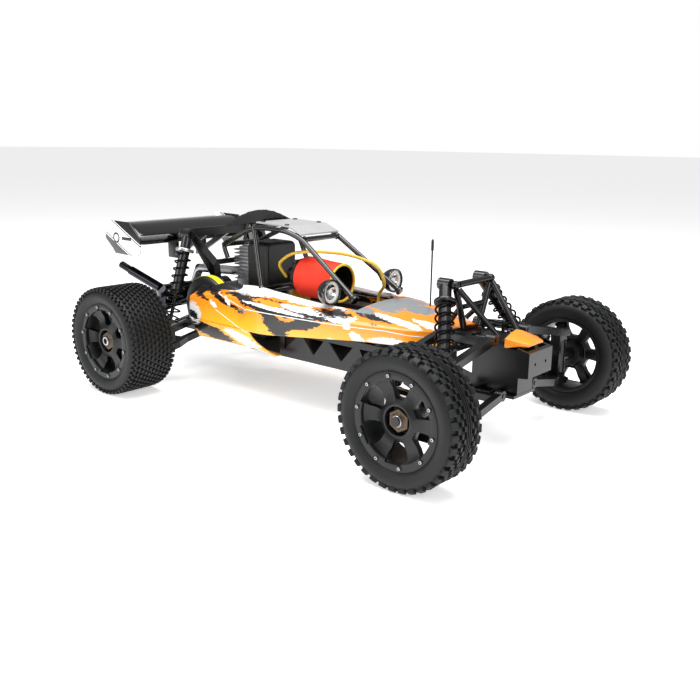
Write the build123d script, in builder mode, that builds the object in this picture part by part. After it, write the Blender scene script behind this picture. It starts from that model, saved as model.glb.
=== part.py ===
"""A fifth-scale petrol off-road buggy, built up from the pieces it would come apart into.

Millimetres. +X points to the nose, +Y to the driver's left, +Z up. The origin lies on the ground, under
the middle of the whole length; the middle of the wheelbase is WHEELBASE_MID_X in front of it.
"""
import math
import os

from build123d import *

# ---- driving dimensions -------------------------------------------------------------------------
WHEELBASE = 570
OVERALL_WIDTH = 480
TYRE_RADIUS = 85
FRONT_TYRE_WIDTH = 60
REAR_TYRE_WIDTH = 80
WHEELBASE_MID_X = 31
FRONT_AXLE_X = WHEELBASE / 2
REAR_AXLE_X = -WHEELBASE / 2
AXLE_Z = TYRE_RADIUS
RIM_RADIUS = 57
BEAD_RING_RADIUS = 60
HUB_BORE = 6.05
AXLE_RADIUS = 6
WALL = 2
GAP = 0.5

# front suspension, left side, as (y, z) of the pivots: upper and lower arms are parallel
FRONT_ARM_IN = (42, 78)
FRONT_ARM_OUT = (172, 52)
FRONT_UPPER_RISE = 72
STEER_ARM = 48
# rear suspension, the same way
REAR_ARM_IN = (34, 82)
REAR_ARM_OUT = (146, 60)
REAR_UPPER_RISE = 54
# how deep the drive cup reaches past the outer pivot: the driveshaft's ball plunges as the arm swings
DRIVE_CUP_DEPTH = 13
# shock absorbers: top and bottom eye centres
FRONT_SHOCK_TOP = (220, 44, 213.5)
FRONT_SHOCK_LOW = (278, 128, 80)
REAR_SHOCK_TOP = (-262, 80, 243)
REAR_SHOCK_LOW = (-262, 128, 88)
TUBE_RADIUS = 4

os.makedirs("parts", exist_ok=True)


# ---- helpers ------------------------------------------------------------------------------------
def at(x, y, z):
    """A point given from the middle of the wheelbase."""
    return (x + WHEELBASE_MID_X, y, z)


def save(part, name):
    part.label = name
    export_step(part, f"parts/{name}.step")


def save_pair(part, end, name):
    """Write the left-hand piece, and its mirror image for the right."""
    save(part, f"{end}_left_{name}")
    with BuildPart() as other:
        add(part)
        mirror(about=Plane.XZ, mode=Mode.REPLACE)
    save(other.part, f"{end}_right_{name}")


def rod(start, end, radius, mode=Mode.ADD):
    """A round bar between two points."""
    run = Vector(*end) - Vector(*start)
    with BuildSketch(Plane(origin=start, z_dir=run)) as section:
        Circle(radius)
    extrude(section.sketch, amount=run.length, mode=mode)


def bar(start, end, width, height, mode=Mode.ADD):
    """A flat bar between two points, its width level."""
    run = Vector(*end) - Vector(*start)
    level = Vector(0, 0, 1).cross(run)
    with BuildSketch(Plane(origin=start, x_dir=level, z_dir=run)) as section:
        Rectangle(width, height)
    extrude(section.sketch, amount=run.length, mode=mode)


def cross_section(x):
    """The plane across the buggy at x, drawn as (y, z)."""
    return Plane(origin=at(x, 0, 0), x_dir=(0, 1, 0), z_dir=(1, 0, 0))


def side_plane(y):
    """The fore-and-aft plane at y, drawn as (x, z) and facing right."""
    return Plane(origin=at(0, y, 0), x_dir=(1, 0, 0), z_dir=(0, -1, 0))


def outline(points, mode=Mode.ADD):
    """A face with straight sides, in the sketch being drawn."""
    with BuildLine() as edge_loop:
        Polyline(*points, close=True)
    make_face(edge_loop.edges(), mode=mode)


def block(low, high, mode=Mode.ADD):
    """A box between two corners."""
    size = [b - a for a, b in zip(low, high)]
    middle = [(a + b) / 2 for a, b in zip(low, high)]
    with Locations(at(*middle)):
        Box(*size, mode=mode)


# ---- wheels -------------------------------------------------------------------------------------
def make_wheel(end, side, axle_x, width, driven):
    sign = 1 if side == "left" else -1
    outer = OVERALL_WIDTH / 2
    inner = outer - width
    profile = Plane(origin=at(axle_x, 0, AXLE_Z), x_dir=(0, sign, 0), z_dir=(sign, 0, 0))
    axle = Axis(at(axle_x, 0, AXLE_Z), (0, 1, 0))

    def face_plane(y):
        return Plane(origin=at(axle_x, sign * y, AXLE_Z), x_dir=(1, 0, 0), z_dir=(0, sign, 0))

    shoulder = 7
    bead = 6
    with BuildPart() as tyre:
        with BuildSketch(profile):
            outline([
                (inner + bead, RIM_RADIUS + 0.2), (inner, 66), (inner, TYRE_RADIUS - 9),
                (inner + shoulder, TYRE_RADIUS), (outer - shoulder, TYRE_RADIUS),
                (outer, TYRE_RADIUS - 9), (outer, 68), (outer - bead, BEAD_RING_RADIUS + 0.5),
                (outer - bead - 4, BEAD_RING_RADIUS + 0.5), (outer - bead - 4, RIM_RADIUS + 0.2),
                (outer - bead - 9, RIM_RADIUS + 0.2), (outer - bead - 3, 68),
                (outer - shoulder - 1, TYRE_RADIUS - 8), (inner + shoulder + 1, TYRE_RADIUS - 8),
                (inner + bead + 1, 68), (inner + bead + 5, RIM_RADIUS + 0.2)])
        revolve(axis=axle)
    save(tyre.part, f"{end}_{side}_tyre")

    barrel_in = inner + bead - 1
    ring_face = outer - 5
    hub_face = outer - 16
    hub_back = outer - 42
    nut_face = outer - 7
    with BuildPart() as rim:
        with BuildSketch(profile):
            outline([
                (barrel_in, RIM_RADIUS), (barrel_in, RIM_RADIUS - 5), (ring_face - 10, RIM_RADIUS - 8),
                (ring_face - 3.2, RIM_RADIUS - 8), (ring_face - 3.2, RIM_RADIUS)])
        revolve(axis=axle)
        with BuildSketch(face_plane(hub_face - 10)):
            Circle(RIM_RADIUS - 6)
            Circle(12, mode=Mode.SUBTRACT)
            with PolarLocations(36, 6):
                RectangleRounded(20, 21, 4, mode=Mode.SUBTRACT)
        extrude(amount=8)
        with BuildSketch(face_plane(hub_back)):
            Circle(20)
            Circle(AXLE_RADIUS if driven else HUB_BORE, mode=Mode.SUBTRACT)
        extrude(amount=hub_face - hub_back)
        with BuildSketch(face_plane(hub_face)):
            Circle(20)
            Circle(16, mode=Mode.SUBTRACT)
        extrude(amount=6)
        # the bead-lock ring is a loose ring held by ten screws
        with BuildSketch(face_plane(ring_face - 3)):
            Circle(BEAD_RING_RADIUS)
            Circle(BEAD_RING_RADIUS - 11.5, mode=Mode.SUBTRACT)
            with PolarLocations(BEAD_RING_RADIUS - 8, 10):
                Circle(1.6, mode=Mode.SUBTRACT)
        extrude(amount=3)
        with BuildSketch(face_plane(ring_face - 3)):
            with PolarLocations(BEAD_RING_RADIUS - 8, 10):
                Circle(1.5)
        extrude(amount=4.5)
        with BuildSketch(face_plane(hub_face + 0.1)):
            RegularPolygon(13.5, 6)
            Circle(HUB_BORE, mode=Mode.SUBTRACT)
        extrude(amount=nut_face - hub_face)
        if driven:
            # the stub axle and its drive cup turn with the wheel inside the hub carrier
            cup_face = REAR_ARM_OUT[0] - 9
            cup_back = REAR_ARM_OUT[0] + DRIVE_CUP_DEPTH
            with BuildSketch(face_plane(cup_back)):
                Circle(AXLE_RADIUS - 0.05)
            extrude(amount=nut_face + 2 - cup_back)
            with BuildSketch(face_plane(cup_face)):
                Circle(11)
            extrude(amount=cup_back - cup_face)
            with BuildSketch(face_plane(cup_face)):
                Circle(8.5)
            extrude(amount=cup_back - cup_face - 2, mode=Mode.SUBTRACT)
    save(rim.part, f"{end}_{side}_rim")


for side in ("left", "right"):
    make_wheel("front", side, FRONT_AXLE_X, FRONT_TYRE_WIDTH, driven=False)
    make_wheel("rear", side, REAR_AXLE_X, REAR_TYRE_WIDTH, driven=True)


# ---- shock absorbers ----------------------------------------------------------------------------
def make_shock(end, top, low):
    """Cylinder with its top eye, rod with its lower eye and spring perch, and the coil between."""
    top = Vector(*at(*top))
    low = Vector(*at(*low))
    down = (low - top).normalized()
    length = (low - top).length
    cylinder_end = 0.6 * length
    collar = 30
    perch = length - 20

    def along(distance):
        return tuple(top + down * distance)

    with BuildPart() as body:
        rod((top.X - 9, top.Y, top.Z), (top.X + 9, top.Y, top.Z), 8)
        rod(along(4), along(cylinder_end), 8.5)
        rod(along(collar - 4), along(collar), 13.5)
        rod((top.X - 12, top.Y, top.Z), (top.X + 12, top.Y, top.Z), 4.2, mode=Mode.SUBTRACT)
        rod(along(14), along(cylinder_end + 1), 3.4, mode=Mode.SUBTRACT)
    save_pair(body.part, end, "shock_body")

    with BuildPart() as plunger:
        rod((low.X - 4, low.Y, low.Z), (low.X + 4, low.Y, low.Z), 7)
        rod(along(cylinder_end - 34), along(length - 3), 3)
        rod(along(perch), along(perch + 4), 13.5)
        rod((low.X - 5, low.Y, low.Z), (low.X + 5, low.Y, low.Z), 4.2, mode=Mode.SUBTRACT)
    save_pair(plunger.part, end, "shock_rod")

    wire = 1.5
    coil_radius = 12
    turns = 9
    height = perch - collar - 2 * wire - 1
    start = along(collar + wire + 0.5)
    with BuildPart() as spring:
        with BuildLine() as coil:
            Helix(height / turns, height, coil_radius, center=start, direction=tuple(down))
        with BuildSketch(Plane(origin=coil.line @ 0, z_dir=coil.line % 0)):
            Circle(wire)
        sweep(is_frenet=True)
    save_pair(spring.part, end, "spring")


make_shock("front", FRONT_SHOCK_TOP, FRONT_SHOCK_LOW)
make_shock("rear", REAR_SHOCK_TOP, REAR_SHOCK_LOW)


# ---- front suspension and steering --------------------------------------------------------------
def arm_plane(x, inner_point, outer_point):
    """The plane of an arm, drawn as (x, distance out from its inner pivot)."""
    run = Vector(0, outer_point[0] - inner_point[0], outer_point[1] - inner_point[1])
    return Plane(origin=at(x, *inner_point), x_dir=(1, 0, 0), z_dir=Vector(1, 0, 0).cross(run))


front_arm_length = math.dist(FRONT_ARM_IN, FRONT_ARM_OUT)
front_upper_in = (FRONT_ARM_IN[0], FRONT_ARM_IN[1] + FRONT_UPPER_RISE)
front_upper_out = (FRONT_ARM_OUT[0], FRONT_ARM_OUT[1] + FRONT_UPPER_RISE)
arm_reach = front_arm_length - 12

with BuildPart() as front_lower_arm:
    with BuildSketch(arm_plane(FRONT_AXLE_X, FRONT_ARM_IN, FRONT_ARM_OUT)):
        outline([(-34, 0), (-22, 0), (-22, 8), (20, 8), (20, 0), (30, 0), (30, 60), (10, arm_reach),
                 (-10, arm_reach), (-34, 60)])
        outline([(-24, 14), (20, 14), (20, 56), (-24, 56)], mode=Mode.SUBTRACT)
    extrude(amount=5, both=True)
    rod(at(FRONT_AXLE_X - 34, *FRONT_ARM_IN), at(FRONT_AXLE_X - 22, *FRONT_ARM_IN), 7)
    rod(at(FRONT_AXLE_X + 20, *FRONT_ARM_IN), at(FRONT_AXLE_X + 30, *FRONT_ARM_IN), 7)
    low_x, low_y, low_z = FRONT_SHOCK_LOW
    for lug_x in (low_x - 11, low_x + 6):
        block((lug_x, low_y - 6, low_z - 22), (lug_x + 5, low_y + 6, low_z + 5))
    rod(at(low_x - 9, low_y, low_z), at(low_x + 9, low_y, low_z), 2.4)
    rod(at(FRONT_AXLE_X - 40, *FRONT_ARM_IN), at(FRONT_AXLE_X + 40, *FRONT_ARM_IN), 3.05,
        mode=Mode.SUBTRACT)
    rod(at(FRONT_AXLE_X - 8, *FRONT_ARM_OUT), at(FRONT_AXLE_X + 8, *FRONT_ARM_OUT), 9.5,
        mode=Mode.SUBTRACT)
    block((FRONT_AXLE_X - 8, FRONT_ARM_OUT[0] - 19, FRONT_ARM_OUT[1] - 12),
          (FRONT_AXLE_X + 8, FRONT_ARM_OUT[0] + 14, FRONT_ARM_OUT[1] + 16), mode=Mode.SUBTRACT)
    for ear_x in (FRONT_AXLE_X - 13, FRONT_AXLE_X + 8.5):
        rod(at(ear_x, FRONT_ARM_OUT[0] - 20, FRONT_ARM_OUT[1] + 4),
            at(ear_x + 4.5, FRONT_ARM_OUT[0] - 20, FRONT_ARM_OUT[1] + 4), 6)
        bar(at(ear_x + 2.25, FRONT_ARM_OUT[0] - 26, FRONT_ARM_OUT[1] + 5.2),
            at(ear_x + 2.25, FRONT_ARM_OUT[0] + 4, FRONT_ARM_OUT[1] - 0.8), 4.5, 9)
    rod(at(FRONT_AXLE_X - 13, *FRONT_ARM_OUT), at(FRONT_AXLE_X + 13, *FRONT_ARM_OUT), 3)
save_pair(front_lower_arm.part, "front", "lower_arm")


with BuildPart() as front_upper_arm:
    with BuildSketch(arm_plane(FRONT_AXLE_X, front_upper_in, front_upper_out)):
        outline([(-70, 0), (-56, 0), (-56, 8), (2, 8), (2, 0), (15, 0), (15, 104), (9, arm_reach),
                 (-9, arm_reach), (-24, 102), (-70, 84)])
        outline([(-60, 15), (3, 15), (3, 88), (-30, 88), (-60, 74)], mode=Mode.SUBTRACT)
    extrude(amount=5, both=True)
    rod(at(FRONT_AXLE_X - 70, *front_upper_in), at(FRONT_AXLE_X - 56, *front_upper_in), 7)
    rod(at(FRONT_AXLE_X + 2, *front_upper_in), at(FRONT_AXLE_X + 15, *front_upper_in), 7)
    rod(at(FRONT_AXLE_X - 72, *front_upper_in), at(FRONT_AXLE_X + 20, *front_upper_in), 3.05,
        mode=Mode.SUBTRACT)
    block((FRONT_AXLE_X - 8, front_upper_out[0] - 19, front_upper_out[1] - 12),
          (FRONT_AXLE_X + 8, front_upper_out[0] + 14, front_upper_out[1] + 16), mode=Mode.SUBTRACT)
    for ear_x in (FRONT_AXLE_X - 13, FRONT_AXLE_X + 8.5):
        bar(at(ear_x + 2.25, front_upper_out[0] - 26, front_upper_out[1] + 5.2),
            at(ear_x + 2.25, front_upper_out[0] + 4, front_upper_out[1] - 0.8), 4.5, 9)
    rod(at(FRONT_AXLE_X - 13, *front_upper_out), at(FRONT_AXLE_X + 13, *front_upper_out), 3)
save_pair(front_upper_arm.part, "front", "upper_arm")

kingpin_y = FRONT_ARM_OUT[0]
knuckle_low = FRONT_ARM_OUT[1] + 12
knuckle_top = front_upper_out[1] - 12
with BuildPart() as front_hub_carrier:
    block((FRONT_AXLE_X - 7.5, kingpin_y - 17, FRONT_ARM_OUT[1] - 6),
          (FRONT_AXLE_X + 7.5, kingpin_y - 11, front_upper_out[1] + 6))
    block((FRONT_AXLE_X - 7.5, kingpin_y - 12, FRONT_ARM_OUT[1] - 6),
          (FRONT_AXLE_X + 7.5, kingpin_y + 6, knuckle_low - GAP))
    block((FRONT_AXLE_X - 7.5, kingpin_y - 12, knuckle_top + GAP),
          (FRONT_AXLE_X + 7.5, kingpin_y + 6, front_upper_out[1] + 6))
    rod(at(FRONT_AXLE_X - 8, *FRONT_ARM_OUT), at(FRONT_AXLE_X + 8, *FRONT_ARM_OUT), 3.05,
        mode=Mode.SUBTRACT)
    rod(at(FRONT_AXLE_X - 8, *front_upper_out), at(FRONT_AXLE_X + 8, *front_upper_out), 3.05,
        mode=Mode.SUBTRACT)
    rod(at(FRONT_AXLE_X, kingpin_y, knuckle_low - 8), at(FRONT_AXLE_X, kingpin_y, knuckle_low), 3.05,
        mode=Mode.SUBTRACT)
    rod(at(FRONT_AXLE_X, kingpin_y, knuckle_top), at(FRONT_AXLE_X, kingpin_y, knuckle_top + 8), 3.05,
        mode=Mode.SUBTRACT)
save_pair(front_hub_carrier.part, "front", "hub_carrier")

steer_ball = (FRONT_AXLE_X - STEER_ARM, kingpin_y - 7, AXLE_Z + 23)
steer_link_y = FRONT_ARM_IN[0] - 7
steer_link_z = steer_ball[2] + FRONT_ARM_IN[1] - FRONT_ARM_OUT[1]
with BuildPart() as front_knuckle:
    rod(at(FRONT_AXLE_X, kingpin_y, knuckle_low), at(FRONT_AXLE_X, kingpin_y, knuckle_top), 9)
    rod(at(FRONT_AXLE_X, kingpin_y, knuckle_low - 7), at(FRONT_AXLE_X, kingpin_y, knuckle_top + 7), 3)
    rod(at(FRONT_AXLE_X, kingpin_y, AXLE_Z), at(FRONT_AXLE_X, kingpin_y + 24, AXLE_Z), 9)
    rod(at(FRONT_AXLE_X, kingpin_y, AXLE_Z), at(FRONT_AXLE_X, OVERALL_WIDTH / 2 - 6, AXLE_Z),
        AXLE_RADIUS)
    bar(at(FRONT_AXLE_X, kingpin_y - 2, AXLE_Z + 13), at(steer_ball[0] - 5, steer_ball[1], AXLE_Z + 13),
        8, 6)
    rod(at(steer_ball[0], steer_ball[1], AXLE_Z + 10), at(steer_ball[0], steer_ball[1], AXLE_Z + 16), 6)
save_pair(front_knuckle.part, "front", "knuckle")

with BuildPart() as front_tie_rod:
    inner_ball = at(steer_ball[0], steer_link_y, steer_link_z)
    rod(at(*steer_ball), inner_ball, 3)
    with Locations(at(*steer_ball), inner_ball):
        Sphere(5)
save_pair(front_tie_rod.part, "front", "tie_rod")

with BuildPart() as steering_link:
    link_x = steer_ball[0]
    link_end = steer_link_y - 6.5
    block((link_x - 5, -link_end, steer_link_z - 3), (link_x + 5, link_end, steer_link_z + 3))
    block((link_x - 5, -link_end - 13, steer_link_z - 9), (link_x + 5, link_end + 13, steer_link_z - 6.5))
    block((link_x - 5, -link_end, steer_link_z - 9), (link_x + 5, link_end, steer_link_z - 3))
save(steering_link.part, "steering_link")

# ---- rear suspension and drive ------------------------------------------------------------------
rear_arm_length = math.dist(REAR_ARM_IN, REAR_ARM_OUT)
rear_reach = rear_arm_length - 16
rear_upper_in = (REAR_ARM_IN[0], REAR_ARM_IN[1] + REAR_UPPER_RISE)
rear_upper_out = (REAR_ARM_OUT[0], REAR_ARM_OUT[1] + REAR_UPPER_RISE)

with BuildPart() as rear_lower_arm:
    with BuildSketch(arm_plane(REAR_AXLE_X, REAR_ARM_IN, REAR_ARM_OUT)):
        outline([(-40, 0), (-28, 0), (-28, 9), (44, 9), (44, 0), (56, 0), (56, 14), (31, 28),
                 (31, 62), (38, 84), (38, rear_reach), (-16, rear_reach), (-40, 60)])
        outline([(-28, 18), (20, 18), (20, 66), (-16, 70), (-28, 56)], mode=Mode.SUBTRACT)
    extrude(amount=5, both=True)
    rod(at(REAR_AXLE_X - 40, *REAR_ARM_IN), at(REAR_AXLE_X - 28, *REAR_ARM_IN), 6.5)
    rod(at(REAR_AXLE_X + 44, *REAR_ARM_IN), at(REAR_AXLE_X + 56, *REAR_ARM_IN), 6.5)
    low_x, low_y, low_z = REAR_SHOCK_LOW
    for lug_x in (low_x - 11, low_x + 6):
        block((lug_x, low_y - 6, low_z - 24), (lug_x + 5, low_y + 3, low_z + 4))
    rod(at(low_x - 9, low_y, low_z), at(low_x + 9, low_y, low_z), 2.4)
    rod(at(REAR_AXLE_X - 44, *REAR_ARM_IN), at(REAR_AXLE_X + 60, *REAR_ARM_IN), 3.05, mode=Mode.SUBTRACT)
    for ear_x in (REAR_AXLE_X - 16, REAR_AXLE_X + 10.5):
        bar(at(ear_x + 2.75, REAR_ARM_OUT[0] - 24, REAR_ARM_OUT[1] + 4.7),
            at(ear_x + 2.75, REAR_ARM_OUT[0] + 5, REAR_ARM_OUT[1] - 1), 5.5, 10)
    rod(at(REAR_AXLE_X - 16, *REAR_ARM_OUT), at(REAR_AXLE_X + 16, *REAR_ARM_OUT), 3)
save_pair(rear_lower_arm.part, "rear", "lower_arm")

with BuildPart() as rear_hub_carrier:
    carrier_in = REAR_ARM_OUT[0] - 9
    cup_room = REAR_ARM_OUT[0] + DRIVE_CUP_DEPTH + GAP
    carrier_out = cup_room + 3.5
    block((REAR_AXLE_X - 9.5, carrier_in, REAR_ARM_OUT[1] - 6),
          (REAR_AXLE_X + 9.5, REAR_ARM_OUT[0] + 9, rear_upper_out[1] + 6))
    rod(at(REAR_AXLE_X, carrier_in, AXLE_Z), at(REAR_AXLE_X, carrier_out, AXLE_Z), 16)
    block((REAR_AXLE_X - 4.5, carrier_in - 1, rear_upper_out[1] - 7),
          (REAR_AXLE_X + 4.5, REAR_ARM_OUT[0] + 10, rear_upper_out[1] + 8), mode=Mode.SUBTRACT)
    rod(at(REAR_AXLE_X - 9, *rear_upper_out), at(REAR_AXLE_X + 9, *rear_upper_out), 2)
    rod(at(REAR_AXLE_X - 10, *REAR_ARM_OUT), at(REAR_AXLE_X + 10, *REAR_ARM_OUT), 3.05,
        mode=Mode.SUBTRACT)
    rod(at(REAR_AXLE_X, carrier_in - 1, AXLE_Z), at(REAR_AXLE_X, cup_room, AXLE_Z), 11.1,
        mode=Mode.SUBTRACT)
    rod(at(REAR_AXLE_X, carrier_in, AXLE_Z), at(REAR_AXLE_X, carrier_out + 1, AXLE_Z), 6.05,
        mode=Mode.SUBTRACT)
save_pair(rear_hub_carrier.part, "rear", "hub_carrier")

with BuildPart() as rear_upper_link:
    rod(at(REAR_AXLE_X, *rear_upper_in), at(REAR_AXLE_X, *rear_upper_out), 3.5)
    for eye in (rear_upper_in, rear_upper_out):
        rod(at(REAR_AXLE_X - 3.8, *eye), at(REAR_AXLE_X + 3.8, *eye), 5.5)
    rod(at(REAR_AXLE_X - 5, *rear_upper_in), at(REAR_AXLE_X + 5, *rear_upper_in), 2.55,
        mode=Mode.SUBTRACT)
    rod(at(REAR_AXLE_X - 5, *rear_upper_out), at(REAR_AXLE_X + 5, *rear_upper_out), 3,
        mode=Mode.SUBTRACT)
save_pair(rear_upper_link.part, "rear", "upper_link")

drive_rise = AXLE_Z - REAR_ARM_OUT[1]
drive_in = (REAR_ARM_IN[0], REAR_ARM_IN[1] + drive_rise)
drive_out = (REAR_ARM_OUT[0], AXLE_Z)
with BuildPart() as rear_driveshaft:
    rod(at(REAR_AXLE_X, *drive_in), at(REAR_AXLE_X, *drive_out), 3.2)
    with Locations(at(REAR_AXLE_X, *drive_in), at(REAR_AXLE_X, *drive_out)):
        Sphere(5.5)
save_pair(rear_driveshaft.part, "rear", "driveshaft")

# the spur gear and its shaft, inside the gear cover
SPUR_TEETH = 57
SPUR_MODULE = 1.5
SPUR_CENTRE = (-220, 128)
GEAR_COVER_RADIUS = 50
GEAR_COVER_OUTER_Y = -84
spur_radius = SPUR_TEETH * SPUR_MODULE / 2
with BuildPart() as spur_gear:
    with BuildSketch(Plane(origin=at(SPUR_CENTRE[0], -71, SPUR_CENTRE[1]), x_dir=(1, 0, 0), z_dir=(0, -1, 0))):
        Circle(spur_radius - 1.25 * SPUR_MODULE)
        with PolarLocations(spur_radius - 0.3, SPUR_TEETH):
            Trapezoid(2.4, 3.3, 80, rotation=-90)
        with PolarLocations(25, 6):
            Circle(7, mode=Mode.SUBTRACT)
    extrude(amount=6, both=False)
    rod(at(SPUR_CENTRE[0], -80, SPUR_CENTRE[1]), at(SPUR_CENTRE[0], -50, SPUR_CENTRE[1]), 5)
save(spur_gear.part, "spur_gear")

# ---- chassis and the structure bolted to it -----------------------------------------------------
FLOOR_Z = 72
FLOOR_THICKNESS = 4
PAN_HALF_WIDTH = 72
TRUSS_HEIGHT = 46
GEARBOX_HALF_WIDTH = 20

with BuildPart() as chassis:
    with BuildSketch(Plane(origin=at(0, 0, FLOOR_Z))):
        outline([(-330, -24), (-220, -24), (-208, -58), (-140, -58), (-128, -PAN_HALF_WIDTH),
                 (150, -PAN_HALF_WIDTH), (225, -32), (322, -28), (322, 28), (225, 32),
                 (150, PAN_HALF_WIDTH), (-128, PAN_HALF_WIDTH), (-140, 58), (-208, 58), (-220, 24),
                 (-330, 24)])
    extrude(amount=FLOOR_THICKNESS)
    for side_y in (-PAN_HALF_WIDTH + 3, PAN_HALF_WIDTH):
        with BuildSketch(side_plane(side_y)):
            outline([(-60, FLOOR_Z + 2), (146, FLOOR_Z + 2), (178, FLOOR_Z + TRUSS_HEIGHT),
                     (-60, FLOOR_Z + TRUSS_HEIGHT)])
            for left, top_left, top_right in ((-50, -50, -22), (10, -12, 30), (64, 40, 86), (112, 98, 140)):
                outline([(left, FLOOR_Z + 12), (top_left, FLOOR_Z + TRUSS_HEIGHT - 9),
                         (top_right, FLOOR_Z + TRUSS_HEIGHT - 9)], mode=Mode.SUBTRACT)
        extrude(amount=3)
save(chassis.part, "chassis")

TOWER_BALL_RADIUS = 6


def tower_tube(start, clamp, radius):
    """A tube that stops just short of the clamp ball at its upper end, and of its foot."""
    first = Vector(*at(*start))
    last = Vector(*at(*clamp))
    step = (last - first).normalized() * (TOWER_BALL_RADIUS + 1)
    rod(tuple(first), tuple(last - step), radius)


BULKHEAD_HALF_WIDTH = 28
bulkhead_top = front_upper_in[1] - 4
deck_low = steer_link_z + 8
with BuildPart() as front_bulkhead:
    block((252, -BULKHEAD_HALF_WIDTH + 8, FLOOR_Z + FLOOR_THICKNESS + GAP),
          (322, BULKHEAD_HALF_WIDTH - 8, bulkhead_top - 10))
    block((259, -BULKHEAD_HALF_WIDTH + 12, FLOOR_Z + FLOOR_THICKNESS + 4),
          (316, BULKHEAD_HALF_WIDTH - 12, bulkhead_top + 1), mode=Mode.SUBTRACT)
    block((208, -BULKHEAD_HALF_WIDTH, deck_low), (301.5, BULKHEAD_HALF_WIDTH, bulkhead_top))
    block((252, -BULKHEAD_HALF_WIDTH + 8, bulkhead_top - 11),
          (300, BULKHEAD_HALF_WIDTH - 8, bulkhead_top - 1))
    for sign in (-1, 1):
        for lug_x in (268, 297):
            block((lug_x, min(sign * 20, sign * 47), FRONT_ARM_IN[1] - 1.5),
                  (lug_x + 4, max(sign * 20, sign * 47), FRONT_ARM_IN[1] + 5))
        for lug_x in (233, 265):
            block((lug_x, min(sign * 30, sign * 47), front_upper_in[1] - 5),
                  (lug_x + 4, max(sign * 30, sign * 47), front_upper_in[1] + 5))
        rod(at(250, sign * FRONT_ARM_IN[0], FRONT_ARM_IN[1]), at(316, sign * FRONT_ARM_IN[0], FRONT_ARM_IN[1]), 3)
        rod(at(214, sign * front_upper_in[0], front_upper_in[1]),
            at(301, sign * front_upper_in[0], front_upper_in[1]), 3)
    # the shock tower is a frame of tubes on the deck, clamped at a ball behind each shock's top eye
    top_x, top_y, top_z = FRONT_SHOCK_TOP
    tower_x = top_x + 15.5
    tower_foot = bulkhead_top + 4
    for sign in (-1, 1):
        clamp = (tower_x, sign * top_y, top_z)
        with Locations(at(*clamp)):
            Sphere(TOWER_BALL_RADIUS)
        rod(at(top_x - 12, sign * top_y, top_z), at(*clamp), 3.2)
        tower_tube((tower_x, sign * 18, tower_foot), clamp, 4.5)
        tower_tube((293, sign * 24.5, tower_foot), clamp, 4)
        tower_tube((214, sign * 20, tower_foot + 8), (tower_x, sign * 30, 183), 3.5)
    cross_end = top_y - TOWER_BALL_RADIUS - 1
    rod(at(tower_x, -cross_end, top_z), at(tower_x, cross_end, top_z), 4.5)
    rod(at(tower_x, -24, 182), at(tower_x, 24, 182), 3.5)
save(front_bulkhead.part, "front_bulkhead")

BUMPER_FACE_X = 342
BUMPER_HALF_WIDTH = 31
BUMPER_SCREW_SPREAD = 14
with BuildPart() as front_bumper:
    with BuildSketch(side_plane(BUMPER_HALF_WIDTH)):
        outline([(324, 102), (BUMPER_FACE_X, 104), (BUMPER_FACE_X, 137), (324, 141)])
    extrude(amount=2 * BUMPER_HALF_WIDTH)
    block((320, 5 - BUMPER_HALF_WIDTH, 95), (BUMPER_FACE_X - 6, BUMPER_HALF_WIDTH - 5, 150),
          mode=Mode.SUBTRACT)
    for screw_y in (-BUMPER_SCREW_SPREAD, BUMPER_SCREW_SPREAD):
        rod(at(BUMPER_FACE_X - 8, screw_y, 120), at(BUMPER_FACE_X + 1, screw_y, 120), 2.1,
            mode=Mode.SUBTRACT)
save(front_bumper.part, "front_bumper")

with BuildPart() as radio_box:
    block((92, -34, FLOOR_Z + FLOOR_THICKNESS + GAP), (196, 34, 138))
    fillet(radio_box.edges().filter_by(Axis.Z), 6)
    fillet(radio_box.faces().sort_by(Axis.Z)[-1].edges(), 3)
save(radio_box.part, "radio_box")

with BuildPart() as gearbox_housing:
    gearbox_low = FLOOR_Z + FLOOR_THICKNESS + GAP
    block((-328, -GEARBOX_HALF_WIDTH, gearbox_low), (-232, GEARBOX_HALF_WIDTH, 146))
    fillet(gearbox_housing.edges().filter_by(Axis.Y), 6)
    for sign in (-1, 1):
        cup_face = (REAR_AXLE_X, sign * 44, drive_in[1])
        rod(at(REAR_AXLE_X, sign * 19, drive_in[1]), at(*cup_face), 12)
        rod(at(REAR_AXLE_X, sign * 21, drive_in[1]), at(REAR_AXLE_X, sign * 45, drive_in[1]), 8.8,
            mode=Mode.SUBTRACT)
        for lug_x in (-308, -252):
            block((lug_x, min(sign * 18, sign * 39), REAR_ARM_IN[1] - 5),
                  (lug_x + 5, max(sign * 18, sign * 39), REAR_ARM_IN[1] + 5))
        rod(at(-326, sign * REAR_ARM_IN[0], REAR_ARM_IN[1]), at(-226, sign * REAR_ARM_IN[0], REAR_ARM_IN[1]), 3)
        for lug_x in (-294, -280):
            block((lug_x, min(sign * 18, sign * 40), rear_upper_in[1] - 5),
                  (lug_x + 4, max(sign * 18, sign * 40), rear_upper_in[1] + 5))
        rod(at(-293, sign * rear_upper_in[0], rear_upper_in[1]),
            at(-277, sign * rear_upper_in[0], rear_upper_in[1]), 2.5)
save(gearbox_housing.part, "gearbox_housing")

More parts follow.
